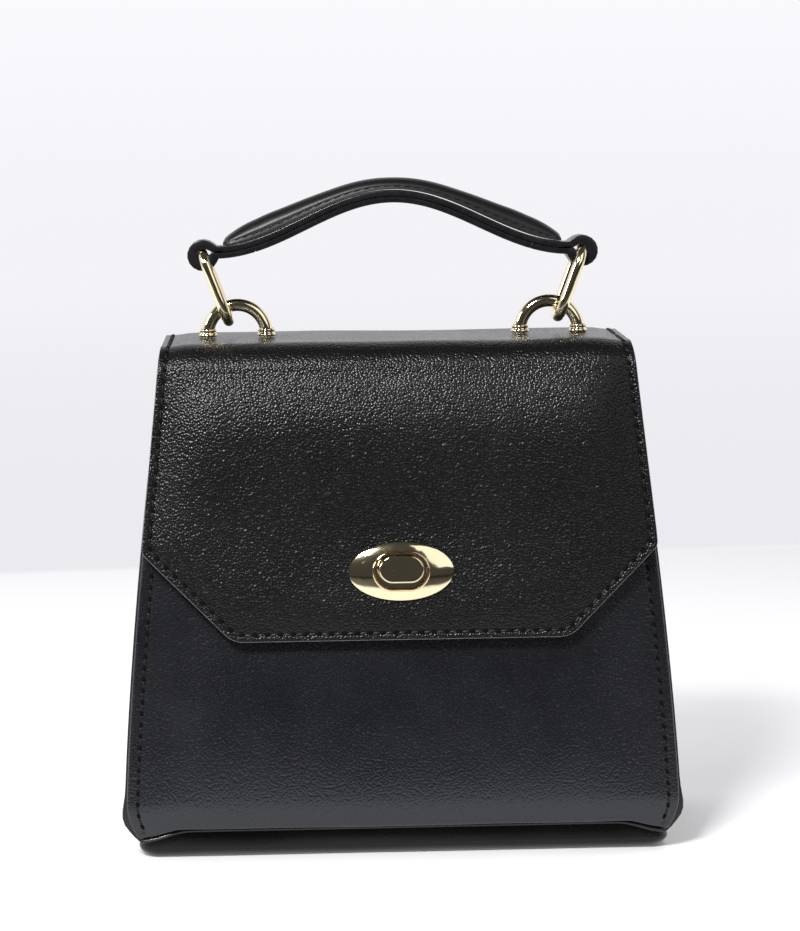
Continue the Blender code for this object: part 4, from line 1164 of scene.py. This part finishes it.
print("flap", round(1000 * (FLAP_FAR - FLAP_NEAR)), "mm long when flat")

# %% [markdown]
# On the bench the flap is still flat. Its lower corners are trimmed and all its corners rounded, its border is
# marked with lines that follow the edge, and it is scored closely where the two rolls will be.

# %% Cut the flap
SIDE_FILLET = 0.0015
LOWER_FILLET = 0.0036
BAND_FILLET = 0.0042
FLAP_MARKS = (0.0012, 0.0007, 0.0004, 0.0004, 0.0004)
BORDER_MARKS = (0.0042, 0.0060, 0.0085)
ROLL_PITCH = 0.0011
FLAP_PITCH = 0.004


def round_corners(item, wanted, offset):
    """Rounds the outline's corners that a test on their place picks."""
    edit(item, bpy.ops.mesh.bevel, "VERT", wanted, offset=offset, segments=8, affect="VERTICES")


def slant(item, half, corner, trim=False):
    """Scores or trims both lower corners of a flat piece at 45 degrees."""
    score(item, [((side * half, corner, 0), (side, -1, 0)) for side in (-1, 1)], trim)


def mark_border():
    for mark in FLAP_MARKS:
        bpy.ops.mesh.inset(thickness=mark, depth=0)


def cut_flap():
    flap = blank("flap_leather_blank", 2 * FLAP_CORNER_HALF, FLAP_NEAR, FLAP_FAR)
    slant(flap, FLAP_CORNER_HALF, FLAP_CORNER, True)
    for y, fillet in (
        (FLAP_CORNER, SIDE_FILLET), (FLAP_NEAR, LOWER_FILLET), (FLAP_FAR, BAND_FILLET)
    ):
        round_corners(flap, lambda place: abs(place.y - y) < PROBE, fillet)
    edit(flap, mark_border)
    return flap


def score_flap(flap):
    half, border = FLAP_CORNER_HALF, BORDER_MARKS[-1]
    side_marks = [side * (half - mark) for side in (-1, 1) for mark in BORDER_MARKS]
    score(flap, columns(side_marks + between(border - half, half - border, FLAP_PITCH)))
    front_roll, rear_roll = FLAP_ROLL_END, flat_top + rear_turn * ROLL_RADIUS
    places = between(front_roll, -flat_top, ROLL_PITCH) + between(flat_top, rear_roll, ROLL_PITCH)
    places += [front_roll, -flat_top, flat_top, rear_roll]
    for low, high in (
        (-flat_top, flat_top), (rear_roll, FLAP_FAR - 0.004), (FLAP_NEAR + border, front_roll)
    ):
        places += between(low, high, FLAP_PITCH)
    score(flap, rows(places + [FLAP_NEAR + mark for mark in BORDER_MARKS]))
    for mark in (*BORDER_MARKS, 0.0120):
        slant(flap, half - mark * math.sqrt(2), FLAP_CORNER)


flap = cut_flap()
score_flap(flap)
# The flap's edges take the pale edge paint, which is partly a painted reflection.
thicken(flap, FLAP_THICK, 0.0011, FLAP_LEATHER, FLAP_EDGE_PAINT_AND_SHEEN)
form(flap, flap_surface, flap_relief)
print("flap", len(flap.data.polygons), "faces")

# %% [markdown]
# The flap bends at two places when the bag is opened, and each bend belongs to another pair of bodies. So the
# formed leather is parted across the middle of its flat top, where nothing bends and the two cut faces stay shut.

# %% Part the flap and pierce it
ARCH_SPACING = 0.1140
ARCH_RADIUS = 0.01065
ARCH_WIRE = 0.0023
SLOT_WIDTH = 0.0186
SLOT_HEIGHT = 0.0126
SLOT_EASE = 0.0006
FEET = {
    "left_outer": -ARCH_SPACING / 2 - ARCH_RADIUS,
    "left_inner": -ARCH_SPACING / 2 + ARCH_RADIUS,
    "right_inner": ARCH_SPACING / 2 - ARCH_RADIUS,
    "right_outer": ARCH_SPACING / 2 + ARCH_RADIUS,
}


def leaning_frame(point, lean):
    """A frame on a face that leans back: X across, Y up the face, Z out of it."""
    out = Vector((0, -math.cos(lean), math.sin(lean)))
    across = Vector((1, 0, 0))
    made = Matrix((across, out.cross(across), out)).transposed().to_4x4()
    made.translation = point
    return made


lock_drop = (LOCK_HEIGHT - FOLD_HEIGHT) / math.cos(FLAP_LEAN)
FLAP_FRAME = leaning_frame(Vector((0, -FLAP_FRONT_DEPTH, FOLD_HEIGHT)), FLAP_LEAN)
PLATE_FRAME = FLAP_FRAME @ Matrix.Translation((0, lock_drop, 0))
LOCK_FRAME = leaning_frame(Vector((0, -half_depth(LOCK_HEIGHT), LOCK_HEIGHT)), PANEL_LEAN)


def oblong(turn, width, height):
    """Point on an oblong with half-round ends, at a turn that runs evenly round it."""
    radius = height / 2
    reach = width / 2 - radius
    quarter = math.pi * radius / 2
    share = abs(math.asin(math.sin(turn))) / (math.pi / 2)
    length = share * (quarter + reach)
    if length < quarter:
        x, y = reach + radius * math.cos(length / radius), radius * math.sin(length / radius)
    else:
        x, y = reach - (length - quarter), radius
    return Vector((math.copysign(x, math.cos(turn)), math.copysign(y, math.sin(turn)), 0))


def circle(turn, radius, height=0):
    return Vector((radius * math.cos(turn), radius * math.sin(turn), height))


def pin(name, outline, low, high, frame, sides):
    """A plug that cuts holes: an outline by turn, between two heights of a frame."""
    place = lambda turn, height: frame @ (outline(turn) + Vector((0, 0, height)))
    return tube(name, sides, (low, high), place)


def pierce(item, plugs):
    for plug in plugs:
        change(item, "BOOLEAN", operation="DIFFERENCE", object=plug, solver="EXACT")
    for plug in plugs:
        bpy.data.objects.remove(plug)


def foot_plugs(low, high):
    outline = lambda turn: circle(turn, ARCH_WIRE + GAP)
    return [pin(word, outline, low, high, Matrix.Translation((x, 0, 0)), 32) for word, x in FEET.items()]


def slot_plug():
    outline = lambda turn: oblong(turn, SLOT_WIDTH + SLOT_EASE, SLOT_HEIGHT + SLOT_EASE)
    return pin("slot", outline, -0.006, 0.002, PLATE_FRAME, 48)


def part_off(item, name, out):
    """A copy of a piece without what lies on one side of the flap's middle."""
    half = item.copy()
    half.data = item.data.copy()
    bpy.context.scene.collection.objects.link(half)
    half.name = half.data.name = name
    middle = (0, top_middle, 0)
    edit(half, bpy.ops.mesh.bisect, plane_co=middle, plane_no=out, clear_outer=True, use_fill=True)
    pierce(half, foot_plugs(TOP_HEIGHT - 0.010, TOP_HEIGHT + 0.002))
    return half


FRONT_BEND = ("flap_top", "flap_front", (0, -0.0300, 0.1815), (0, -0.0370, 0.1640))
REAR_BEND = ("body", "flap_top", (0, 0.0345, 0.1640), (0, 0.0290, 0.1815))

flap_front = part_off(flap, "flap_front_skin", (0, 1, 0))
flap_rear = part_off(flap, "flap_rear_skin", (0, -1, 0))
bpy.data.objects.remove(flap)
pierce(flap_front, [slot_plug()])
for piece in (flap_front, flap_rear):
    smooth(piece)
hand_over(flap_front, FRONT_BEND, "black_leather", "flap_front_leather", "flap_top_leather")
hand_over(flap_rear, REAR_BEND, "black_leather", "rear_hinge_band")

# %% [markdown]
# The seam follows the flap's edge at one margin. Its corners are eased with short curves, because a machine can't
# turn on the spot in thick leather.

# %% Flap stitches
STITCH_PITCH = 0.0045
FLAP_STITCH = ((0.0030, 0.00085, 0.00075), 0.00085)
FLAP_HOLE_SHADE = ((0.0022, 0.0017, 0.0010), 0.00095)
CORNER_EASE = 0.0030


def eased_path(corners, reach):
    """A bent line whose inner corners are replaced by short curves."""
    corners = [Vector(corner) for corner in corners]
    points = [corners[0]]
    for before, here, after in zip(corners, corners[1:], corners[2:]):
        start = here + (before - here).normalized() * reach
        end = here + (after - here).normalized() * reach
        points += [start.lerp(here, t).lerp(here.lerp(end, t), t) for t in (0, 0.25, 0.5, 0.75, 1)]
    return points + [corners[-1]]


def sew_flap():
    margin = FLAP_SEAM_MARGIN
    turn_in = margin * math.tan(math.pi / 8)
    side = FLAP_CORNER_HALF - margin
    corner = FLAP_CORNER + turn_in
    end = FLAP_CORNER_HALF - (FLAP_CORNER - FLAP_NEAR) - turn_in
    near = FLAP_NEAR + margin
    front = [(-side, -0.002), (-side, corner), (-end, near)]
    front += [(-x, y) for x, y in reversed(front)]
    far = FLAP_FAR - margin
    rear = [(-side, 0.002), (-side, far), (side, far), (side, 0.002)]
    for word, path, bend in (
        ("flap_front_", front, FRONT_BEND), ("flap_rear_", rear, REAR_BEND)
    ):
        path = eased_path(path, CORNER_EASE)
        sew(word, [path], STITCH_PITCH, FLAP_STITCH, FLAP_HOLE_SHADE, flap_surface, bend)


sew_flap()

# %% [markdown]
# The flap's lining is one leaf of cloth from its lower margin up round the front roll and under the top, where it
# lies a little deeper because the top has a board in it.

# %% Flap lining
LINING_MARGIN = 0.0040
FRONT_LINING_INSET = FLAP_THICK + GAP
TOP_LINING_INSET = 0.0042


def make_flap_lining():
    half = FLAP_CORNER_HALF - LINING_MARGIN
    near = FLAP_NEAR + LINING_MARGIN
    far = flat_top + ROLL_RADIUS * math.radians(28)
    lining = blank("flap_lining_cloth", 2 * half, near, far)
    slant(lining, half, FLAP_CORNER + LINING_MARGIN * (math.sqrt(2) - 1), True)
    round_corners(lining, lambda place: place.y < FLAP_CORNER + 0.004, 0.0030)
    score(lining, columns(between(-half, half, LEAF_PITCH)) + rows(between(near, far, 0.0020)))
    thicken(lining, LINING_THICK, CLOTH_EDGE, LINING)

    def place(x, y):
        deep = ease(FLAP_ROLL_END, -flat_top, y)
        inset = FRONT_LINING_INSET + (TOP_LINING_INSET - FRONT_LINING_INSET) * deep
        return above(flap_surface, x, y, -inset)

    form(lining, place)
    pierce(lining, [slot_plug()] + foot_plugs(TOP_HEIGHT - 0.010, TOP_HEIGHT))
    hand_over(lining, FRONT_BEND, "lining_cloth", "flap_front_lining", "flap_top_lining")


make_flap_lining()

# %% [markdown]
# The lock plate is an oval dome with a raised lip round its slot. Cutting the slot out of a finished dome would
# leave ragged faces that show in a polished surface, so the rings of one sleeve run from the oval rim to the
# oblong slot, over the lip and down the slot's wall, and close again underneath.

# %% Lock plate
PLATE_WIDTH = 0.0372
PLATE_HEIGHT = 0.0206
PLATE_RISE = 0.0027
PLATE_RIM = 0.0006
DOME_POWER = 0.85
LIP_WIDTH = 0.0009
LIP_RISE = 0.0004
WALL_DEPTH = 0.0020
WALL_THICK = 0.00025


def plate_rings():
    """(share from rim to lip, lip's reach, height or None on the dome, lift) for every ring."""
    rings = [(0, LIP_WIDTH, height, 0) for height in (0.0, 0.0002, 0.0004)]
    rings += [(share, LIP_WIDTH, None, 0) for share in spread(0, 1, 26)]
    for turn in spread(0, math.pi, 13)[1:]:
        rings.append((1, LIP_WIDTH * (1 + math.cos(turn)) / 2, None, LIP_RISE * math.sin(turn)))
    rings += [(1, 0, height, 0) for height in spread(0.0018, -WALL_DEPTH, 6)]
    rings += [(1, WALL_THICK, -WALL_DEPTH, 0), (1, WALL_THICK, 0.0, 0), (0, LIP_WIDTH, 0.0, 0)]
    return rings


def make_lock_plate():
    half_width, half_height = PLATE_WIDTH / 2, PLATE_HEIGHT / 2

    def place(turn, ring):
        across, reach, height, lift = ring
        rim = Vector((half_width * math.cos(turn), half_height * math.sin(turn), 0))
        spot = rim.lerp(oblong(turn, SLOT_WIDTH + 2 * reach, SLOT_HEIGHT + 2 * reach), across)
        if height is None:
            out = min(1.0, math.hypot(spot.x / half_width, spot.y / half_height))
            height = PLATE_RIM + (PLATE_RISE - PLATE_RIM) * (1 - out**2) ** DOME_POWER + lift
        return PLATE_FRAME @ Vector((spot.x, spot.y, GAP + height))

    plate = sleeve("lock_plate_gold", 128, plate_rings(), place, GOLD, 50, "NOTHING")
    # Faces round the slot and down its wall take the deeper orange gold, a painted reflection.
    plate.data.materials.append(LIP_REFLECTION_GOLD)
    straight = (SLOT_WIDTH - SLOT_HEIGHT) / 2
    for face in plate.data.polygons:
        spot = PLATE_FRAME.inverted() @ face.center
        from_axis = math.hypot(max(0, abs(spot.x) - straight), spot.y)
        face.material_index = int(from_axis < SLOT_HEIGHT / 2 + LIP_WIDTH * 0.45)
    hand_over(plate, "flap_front", "pale_gold", "escutcheon")


make_lock_plate()

# %% [markdown]
# The knob is a flat oblong on a round spindle. Its narrow bevel is what catches the light, so it gets rings
# of its own; its face stays flat and mirrors the dim front of the room, which is why it looks dark.

# %% Turn knob
KNOB_WIDTH = 0.0159
KNOB_HEIGHT = 0.0096
KNOB_THICK = 0.0030
KNOB_BEVEL = 0.00065
KNOB_STAND_OFF = 0.0007
LIP_TOP = 0.0030
SPINDLE_RADIUS = 0.0025
lock_out = LOCK_FRAME.to_3x3() @ Vector((0, 0, 1))
plate_out = (PLATE_FRAME.translation - LOCK_FRAME.translation).dot(lock_out)
KNOB_LOW = plate_out + GAP + LIP_TOP + KNOB_STAND_OFF
SPINDLE_TAIL = -0.0070


def make_knob():
    high = KNOB_LOW + KNOB_THICK
    rings = [(None, SPINDLE_TAIL + 0.0003), (None, KNOB_LOW - 0.0002), (None, KNOB_LOW)]
    rings += [(KNOB_BEVEL, KNOB_LOW), (0.0002, KNOB_LOW + 0.0001), (0, KNOB_LOW + 0.0004)]
    for turn in spread(0, math.pi / 2, 6):
        rings.append((KNOB_BEVEL * (1 - math.cos(turn)), high - KNOB_BEVEL * (1 - math.sin(turn))))
    rings += [(KNOB_BEVEL + 0.0004, high), (KNOB_BEVEL + 0.0020, high)]

    def place(turn, ring):
        inset, height = ring
        if inset is None:
            return LOCK_FRAME @ circle(turn, SPINDLE_RADIUS, height)
        spot = oblong(turn, KNOB_WIDTH - 2 * inset, KNOB_HEIGHT - 2 * inset)
        return LOCK_FRAME @ (spot + Vector((0, 0, height)))

    knob = sleeve("turn_knob_gold", 96, rings, place, GOLD, 30)
    hand_over(knob, "lock_knob", "pale_gold", "turn_knob")


make_knob()

# %% [markdown]
# Each arch is a length of thick wire with its two legs through the flap's top. The tube is bent along its middle
# line; the rings at its ends turn inwards to make the bores that the screws hold. The collars are turned rings
# with a bead below and a narrower one above.

# %% Arches and collars
ARCH_RISE = 0.0118
ARCH_CENTRE = TOP_HEIGHT + ARCH_RISE - ARCH_RADIUS
LEG_END = TOP_HEIGHT - TOP_LINING_INSET - LINING_THICK - GAP
BORE = 0.0013
BORE_DEPTH = 0.0039
WIRE_BEVEL = 0.0003
COLLAR_PROFILE = (
    (0.0026, 0.0000), (0.0030, 0.0000), (0.00325, 0.0002), (0.00335, 0.0005), (0.0033, 0.0009),
    (0.0030, 0.0012), (0.00285, 0.0015), (0.0029, 0.0018), (0.00305, 0.0020), (0.0031, 0.0023),
    (0.0030, 0.0026), (0.0028, 0.0028), (0.0026, 0.0029), (0.0026, 0.0015), (0.0026, 0.0000),
)


def make_arch(side, word):
    centre = side * ARCH_SPACING / 2
    leg = ARCH_CENTRE - LEG_END
    bend = math.pi * ARCH_RADIUS
    total = 2 * leg + bend

    def path(share):
        """The arch's middle line by its length: up one leg, over and down the other."""
        at = share * total
        if at < leg:
            return Vector((centre - ARCH_RADIUS, 0, LEG_END + at))
        if at > leg + bend:
            return Vector((centre + ARCH_RADIUS, 0, LEG_END + total - at))
        turn = math.pi * (1 - (at - leg) / bend)
        spot = circle(turn, ARCH_RADIUS)
        return Vector((centre + spot.x, 0, ARCH_CENTRE + spot.y))

    bore, bevel = BORE_DEPTH / total, WIRE_BEVEL / total
    end = [(bore, BORE), (0, BORE), (0, ARCH_WIRE - WIRE_BEVEL), (bevel, ARCH_WIRE)]
    middle = [(share, ARCH_WIRE) for share in spread(0.02, 0.98, 80)]
    stations = end + middle + [(1 - share, radius) for share, radius in reversed(end)]
    place = lambda turn, station: lay_along(path, station[1], station[0], turn)
    arch = sleeve(word + "_arch_gold", 32, stations, place, GOLD, 50)
    hand_over(arch, "flap_top", "pale_gold", word + "_arch")


def make_collar(word, x):
    seat = Vector((x, 0, TOP_HEIGHT + GAP))
    place = lambda turn, station: seat + circle(turn, *station)
    collar = sleeve(word + "_collar_gold", 48, COLLAR_PROFILE, place, GOLD, 60, "NOTHING")
    hand_over(collar, "flap_top", "pale_gold", word + "_collar")


for side, word in ((-1, "left"), (1, "right")):
    make_arch(side, word)
for word, x in FEET.items():
    make_collar(word, x)

# %% [markdown]
# The rings are wire bent to a long oval and closed. The ends of the oval are flattened a little, so that the strap
# lies straight across them.

# %% Rings
RING_WIRE = 0.0020
RING_REACH = 0.0300 / 2 - RING_WIRE
RING_SPREAD = 0.0224 / 2 - RING_WIRE
RING_PLAY = 0.00053
RING_LEAN = math.radians(20.5)
RING_SEAT_TURN = math.radians(30.5)
RING_POWER = 4.0
STRAP_WIDTH = 0.0130


def ring_seat(side):
    reach = ARCH_RADIUS - ARCH_WIRE - RING_WIRE - RING_PLAY
    across = ARCH_SPACING / 2 + reach * math.sin(RING_SEAT_TURN)
    return Vector((side * across, 0, ARCH_CENTRE + reach * math.cos(RING_SEAT_TURN)))


def ring_up(side):
    return Vector((side * math.sin(RING_LEAN), 0, math.cos(RING_LEAN)))


def make_ring(side, word):
    up = ring_up(side)
    centre = ring_seat(side) + up * RING_REACH

    def corner(share):
        """Point on the ring's oval, which bunches its points at the corners."""
        turn = 2 * math.pi * share
        rise, wide = (bowed(way, 2 / RING_POWER) for way in (math.cos(turn), math.sin(turn)))
        return centre + up * RING_REACH * rise + Vector((0, RING_SPREAD * wide, 0))

    count = 240
    points = [corner(step / count) for step in range(count)]
    lengths = [0.0]
    for near, far in zip(points, points[1:] + points[:1]):
        lengths.append(lengths[-1] + (far - near).length)
    side_way = up.cross(Vector((0, 1, 0))).normalized()

    def place(turn, share):
        at = share % 1.0 * lengths[-1]
        index = next(i for i, length in enumerate(lengths[1:]) if length >= at)
        rest = (at - lengths[index]) / (lengths[index + 1] - lengths[index])
        here = points[index].lerp(points[(index + 1) % count], rest)
        ahead = (points[(index + 2) % count] - points[(index - 1) % count]).normalized()
        return here + RING_WIRE * (math.cos(turn) * side_way + math.sin(turn) * ahead.cross(side_way))

    ring = sleeve(word + "_ring_gold", 28, spread(0, 1, 121), place, GOLD, 60, "NOTHING")
    hand_over(ring, word + "_link", "pale_gold", word + "_ring")


make_ring(-1, "left")
make_ring(1, "right")

# %% [markdown]
# The handle's strap is one long strip: it lies under itself at one end, goes round the ring, along the whole top
# and round the other ring. Its middle line is written once, and every layer of the handle is set square to it.

# %% The handle's line
LOOP_BORE = 0.0036
LOOP_NECK = 0.0044
STRAP_THICK = 0.0021
STRAP_END_RISE = 0.0010
STRAP_BELL = 0.0195
STRAP_FOLD_BACK = 0.0140
STRAP_SWELL = 0.0006
STRAP_ROUNDING = 0.0003
STRAP_BEND = 0.0016
LOOP_SWELL = 0.0010


def ring_sag():
    share = STRAP_WIDTH / 2 / RING_SPREAD
    return RING_REACH * (1 - (1 - share**RING_POWER) ** (1 / RING_POWER)) / 2


LOOP = ring_seat(1) + ring_up(1) * (2 * RING_REACH - ring_sag())
HALF_RUN = LOOP.x - LOOP_NECK
STRAP_END_HEIGHT = LOOP.z + STRAP_END_RISE


def strap_point(x, offset):
    """Point in the (x, z) plane beside the strap's middle line, offset square to it."""
    turn = math.pi * x / HALF_RUN
    height = STRAP_END_HEIGHT + STRAP_BELL * (1 + math.cos(turn)) / 2
    slope = -STRAP_BELL * math.pi / HALF_RUN * math.sin(turn) / 2
    return Vector((x, height)) + Vector((-slope, 1)).normalized() * offset


def strap_line():
    """The strap's inner face from one folded-back end to the other."""
    centre = Vector((-LOOP.x, LOOP.z))
    pinch = Vector((-HALF_RUN, STRAP_END_HEIGHT)) - centre
    heading = math.atan2(pinch.y, pinch.x)
    touch = math.acos(LOOP_BORE / pinch.length)
    lower = [strap_point(x, -GAP / 2) for x in spread(-HALF_RUN + STRAP_FOLD_BACK, -HALF_RUN, 9)]
    turns = [heading - touch - (2 * math.pi - 2 * touch) * step / 24 for step in range(25)]
    loop = [centre + LOOP_BORE * Vector((math.cos(turn), math.sin(turn))) for turn in turns]
    left = lower + loop
    upper = [strap_point(x, GAP / 2) for x in spread(-HALF_RUN, HALF_RUN, 61)]
    return left + upper + [Vector((-point.x, point.y)) for point in reversed(left)]


def line_length(line):
    return sum((b - a).length for a, b in zip(line, line[1:]))


def loop_share(from_end):
    """1 where the strap goes round a ring, and 0 on the grip and at the folded end."""
    return ease(0.010, 0.017, from_end) * (1 - ease(0.029, 0.038, from_end))


def make_strip(word, line, flip, loop_swell):
    total = line_length(line)
    edge = STRAP_WIDTH / 2 - 0.0010
    name = word + "_leather"
    strip = blank(name, STRAP_WIDTH, 0, total, (-edge, 0, edge), between(0, total, 0.0013))
    thicken(strip, STRAP_THICK, STRAP_ROUNDING, HANDLE_LEATHER, EDGE_PAINT)

    def place(x, y):
        spot = along_line(line, y / total, STRAP_BEND)
        return Vector((spot.x, flip * x, spot.y))

    swell = lambda x, y: STRAP_SWELL + loop_swell * loop_share(min(y, total - y))
    form(strip, place, swell, -STRAP_THICK / 2)
    hand_over(strip, "handle", "black_leather", word)


make_strip("handle_strap", strap_line(), 1, LOOP_SWELL)
under_reach = HALF_RUN - STRAP_FOLD_BACK - GAP / 6
under_line = [strap_point(x, -GAP / 2) for x in spread(-under_reach, under_reach, 61)]
make_strip("handle_underlay", under_line, -1, 0)

# %% [markdown]
# The grip is a soft cushion: leather drawn over foam and sewn down along both of the strap's edges. It is full
# towards its ends and thinner in the middle, where the hand has pressed it, and a groove runs above its seam.

# %% Padded grip
COVER_REACH = HALF_RUN - 0.0030
COVER_HEIGHT = 0.0066
COVER_SEAT = GAP / 2 + STRAP_THICK + GAP
COVER_SHARES = (
    (0.00, 0.63), (0.33, 0.72), (0.50, 0.86), (0.68, 1.00), (0.84, 0.90), (0.94, 0.60), (1.00, 0.30),
)
COVER_END = 0.95
COVER_CROWN = 0.85
SEAM_TURN = math.radians(13)
SEAM_WIDTH = math.radians(6)
SEAM_PULL = 0.00022
HANDLE_STITCH = (0.0025, 0.0006, 0.00055)
HANDLE_PITCH = 0.0034
HANDLE_PROUD = 0.00005


def cover_height(share):
    window = 0.10
    steps = [step / 6 - 0.5 for step in range(7)]
    return COVER_HEIGHT * sum(follow(COVER_SHARES, abs(share + window * step)) for step in steps) / 7


def cover_point(x, turn):
    """Point on the grip at x along it, with a turn that runs from one edge over the top to the other."""
    share = x / COVER_REACH
    end = min(1.0, max(0.0, (abs(share) - COVER_END) / (1 - COVER_END)))
    full = math.sqrt(max(0.0, 1 - end * end)) * 0.75 + 0.25
    rise = max(0.0, math.sin(turn)) ** COVER_CROWN
    sunk = groove(min(turn, math.pi - turn), SEAM_TURN, SEAM_PULL, SEAM_WIDTH)
    wide = bowed(math.cos(turn), 0.88) * (STRAP_WIDTH / 2 * full + sunk)
    spot = strap_point(x, COVER_SEAT + cover_height(share) * full * rise)
    return Vector((spot.x, wide, spot.y))


def make_cover():
    def place(turn, share):
        turn = -turn % (2 * math.pi)
        x = COVER_REACH * (2 * share - 1)
        if turn > math.pi:
            return cover_point(x, math.pi).lerp(cover_point(x, 0), turn / math.pi - 1)
        return cover_point(x, turn)

    cover = sleeve("handle_cover_leather", 72, spread(0, 1, 121), place, GRIP_LEATHER, 60)
    hand_over(cover, "handle", "black_leather", "handle_cover", "handle_pad")


def sew_cover(side, word):
    reach = COVER_REACH * 0.93
    line = [(-reach, 0), (reach, 0)]
    name = "handle_stitches_" + word
    seam = stitches(name, [line], HANDLE_PITCH, HANDLE_STITCH, -HANDLE_PROUD, 0.5, THREAD)

    def place(x, y):
        turn = SEAM_TURN + y / 0.006
        return cover_point(-side * x, turn if side > 0 else math.pi - turn)

    form(seam, place)
    hand_over(seam, "handle", "black_leather")


make_cover()
sew_cover(FRONT, "front")
sew_cover(REAR, "rear")

# %% [markdown]
# What stays from the construction model is hidden or plain hardware whose shape is already right: boards, plates,
# rivets, washers and screws. It only needs real finishes.

# %% Finish the kept pieces
KEPT = {"base_board": BOARD, "flap_top_board": BOARD, "lock_base_plate": GOLD}
for name, node in frame["nodes"].items():
    node.data.materials.clear()
    node.data.materials.append(KEPT.get(name, STEEL))
print("kept finishes set on", len(frame["nodes"]), "nodes")

# %% [markdown]
# The bag stands on a white table in front of a pale wall. In the photograph's view the table's far edge crosses
# behind the bag, so the floor turns to the wall's colour beyond a slanting line. The wall's colour is given to
# camera and mirror rays only, because a bright wall would otherwise light the bag and wash out its black.

# %% Floor and world
WALL_LINE = 0.695
WALL_TURN = math.radians(-7.6)
# The wall is painted darker towards the table's line and paler higher up: painted shade on the backdrop.
WALL_LOW = (0.83, 0.825, 0.87)
WALL_MIDDLE = (0.90, 0.895, 0.935)
WALL_HIGH = (0.955, 0.95, 0.985)
TABLE_COLOUR = (0.90, 0.89, 0.90)
# Nearer the camera than TABLE_FRONT the table is painted dark for every ray but the camera's: a painted shade that
# the bag mirrors as the dim front of the room.
TABLE_DARK = (0.03, 0.03, 0.03)
TABLE_FRONT = -0.34
TABLE_LIFT = 0.1
TABLE_GLOSS = 0.6
ROOM_DARK = (0.05, 0.05, 0.05)


def make_floor():
    bpy.ops.object.select_all(action="DESELECT")
    bpy.ops.mesh.primitive_grid_add(x_subdivisions=8, y_subdivisions=8, size=12)
    floor = bpy.context.object
    floor.name = floor.data.name = "floor"
    finish = Finish("floor")
    place = finish.place()
    turned = finish.node("ShaderNodeMapping", None, {"Vector": place, "Rotation": (0, 0, WALL_TURN)})
    back = finish.axis(turned, 1)
    beyond = back.rise(WALL_LINE - 0.02, WALL_LINE + 0.02)
    front = 1 - finish.axis(place, 1).rise(TABLE_FRONT - 0.08, TABLE_FRONT + 0.08)
    finish.shade(
        Base_Color=finish.mix(front, TABLE_COLOUR, TABLE_DARK),
        Roughness=0.55 + beyond * 0.3,
        Specular_IOR_Level=0.2,
    )
    wall_colour = finish.mix(back.rise(WALL_LINE, 4.5), WALL_LOW, WALL_MIDDLE)
    pale = finish.mix(beyond, (1.0, 1.0, 1.0), wall_colour)
    wall = finish.node("ShaderNodeEmission", None, {"Color": pale, "Strength": 1.0})
    lit = beyond.greater(front).greater(TABLE_LIFT)
    gloss = finish.ray("Glossy") * beyond.greater((1 - front) * TABLE_GLOSS)
    shown = (lit * finish.ray("Camera")).greater(gloss)
    table = Term(finish, finish.tree.nodes["Principled BSDF"].outputs[0])
    both = finish.node("ShaderNodeMixShader", None, {0: shown, 1: table, 2: wall})
    finish.feed(finish.tree.nodes["Material Output"].inputs["Surface"], both)
    floor.data.materials.append(finish.material)


def make_world():
    world = bpy.data.worlds.new("studio")
    bpy.context.scene.world = world
    world.use_nodes = True
    finish = Finish("studio", world.node_tree)
    way = finish.place("Generated")
    behind = finish.axis(way, 1).rise(-0.3, 0.3)
    room = finish.mix(behind, ROOM_DARK, (0.40, 0.40, 0.42))
    height = finish.axis(way, 2)
    high = height.rise(0.50, 0.80)
    mirrored = finish.ray("Glossy")
    ceiling = finish.mix(mirrored * high, room, ROOM_DARK)
    # Higher up the wall's colour is paler, the same painted shade.
    pale = finish.mix(height.rise(-0.03, 0.05), WALL_MIDDLE, WALL_HIGH)
    colour = finish.mix(finish.ray("Camera").greater(mirrored * behind * (1 - high)), ceiling, pale)
    finish.feed(finish.tree.nodes["Background"].inputs["Color"], colour)


make_floor()
make_world()

# %% [markdown]
# Black leather is drawn by what it reflects. A lamp high on the left gives the sheen on the flap, one beside it
# draws the left edges, a dim card on the right catches the fittings, and one above lights the table.

# %% Lamps
def soft_lamp(name, place, width, height, power):
    """A rectangle of light that faces the bag."""
    lamp = bpy.data.objects.new(name, bpy.data.lights.new(name, "AREA"))
    bpy.context.scene.collection.objects.link(lamp)
    lamp.data.shape = "RECTANGLE"
    lamp.data.size, lamp.data.size_y = width, height
    lamp.data.energy = power
    lamp.location = place
    lamp.rotation_euler = (Vector((0, 0, 0.1)) - lamp.location).to_track_quat("-Z", "Y").to_euler()
    return lamp


soft_lamp("key", (-0.56, -1.20, 1.22), 0.40, 0.32, 36)
soft_lamp("side", (-1.30, -0.45, 0.75), 0.50, 0.50, 8)
soft_lamp("card", (0.55, -0.755, 0.68), 0.70, 0.80, 2.0)
soft_lamp("top", (0.1, 0.3, 1.6), 1.4, 0.9, 12).visible_glossy = False
bpy.context.scene.view_settings.view_transform = "Standard"
print("lamps set")
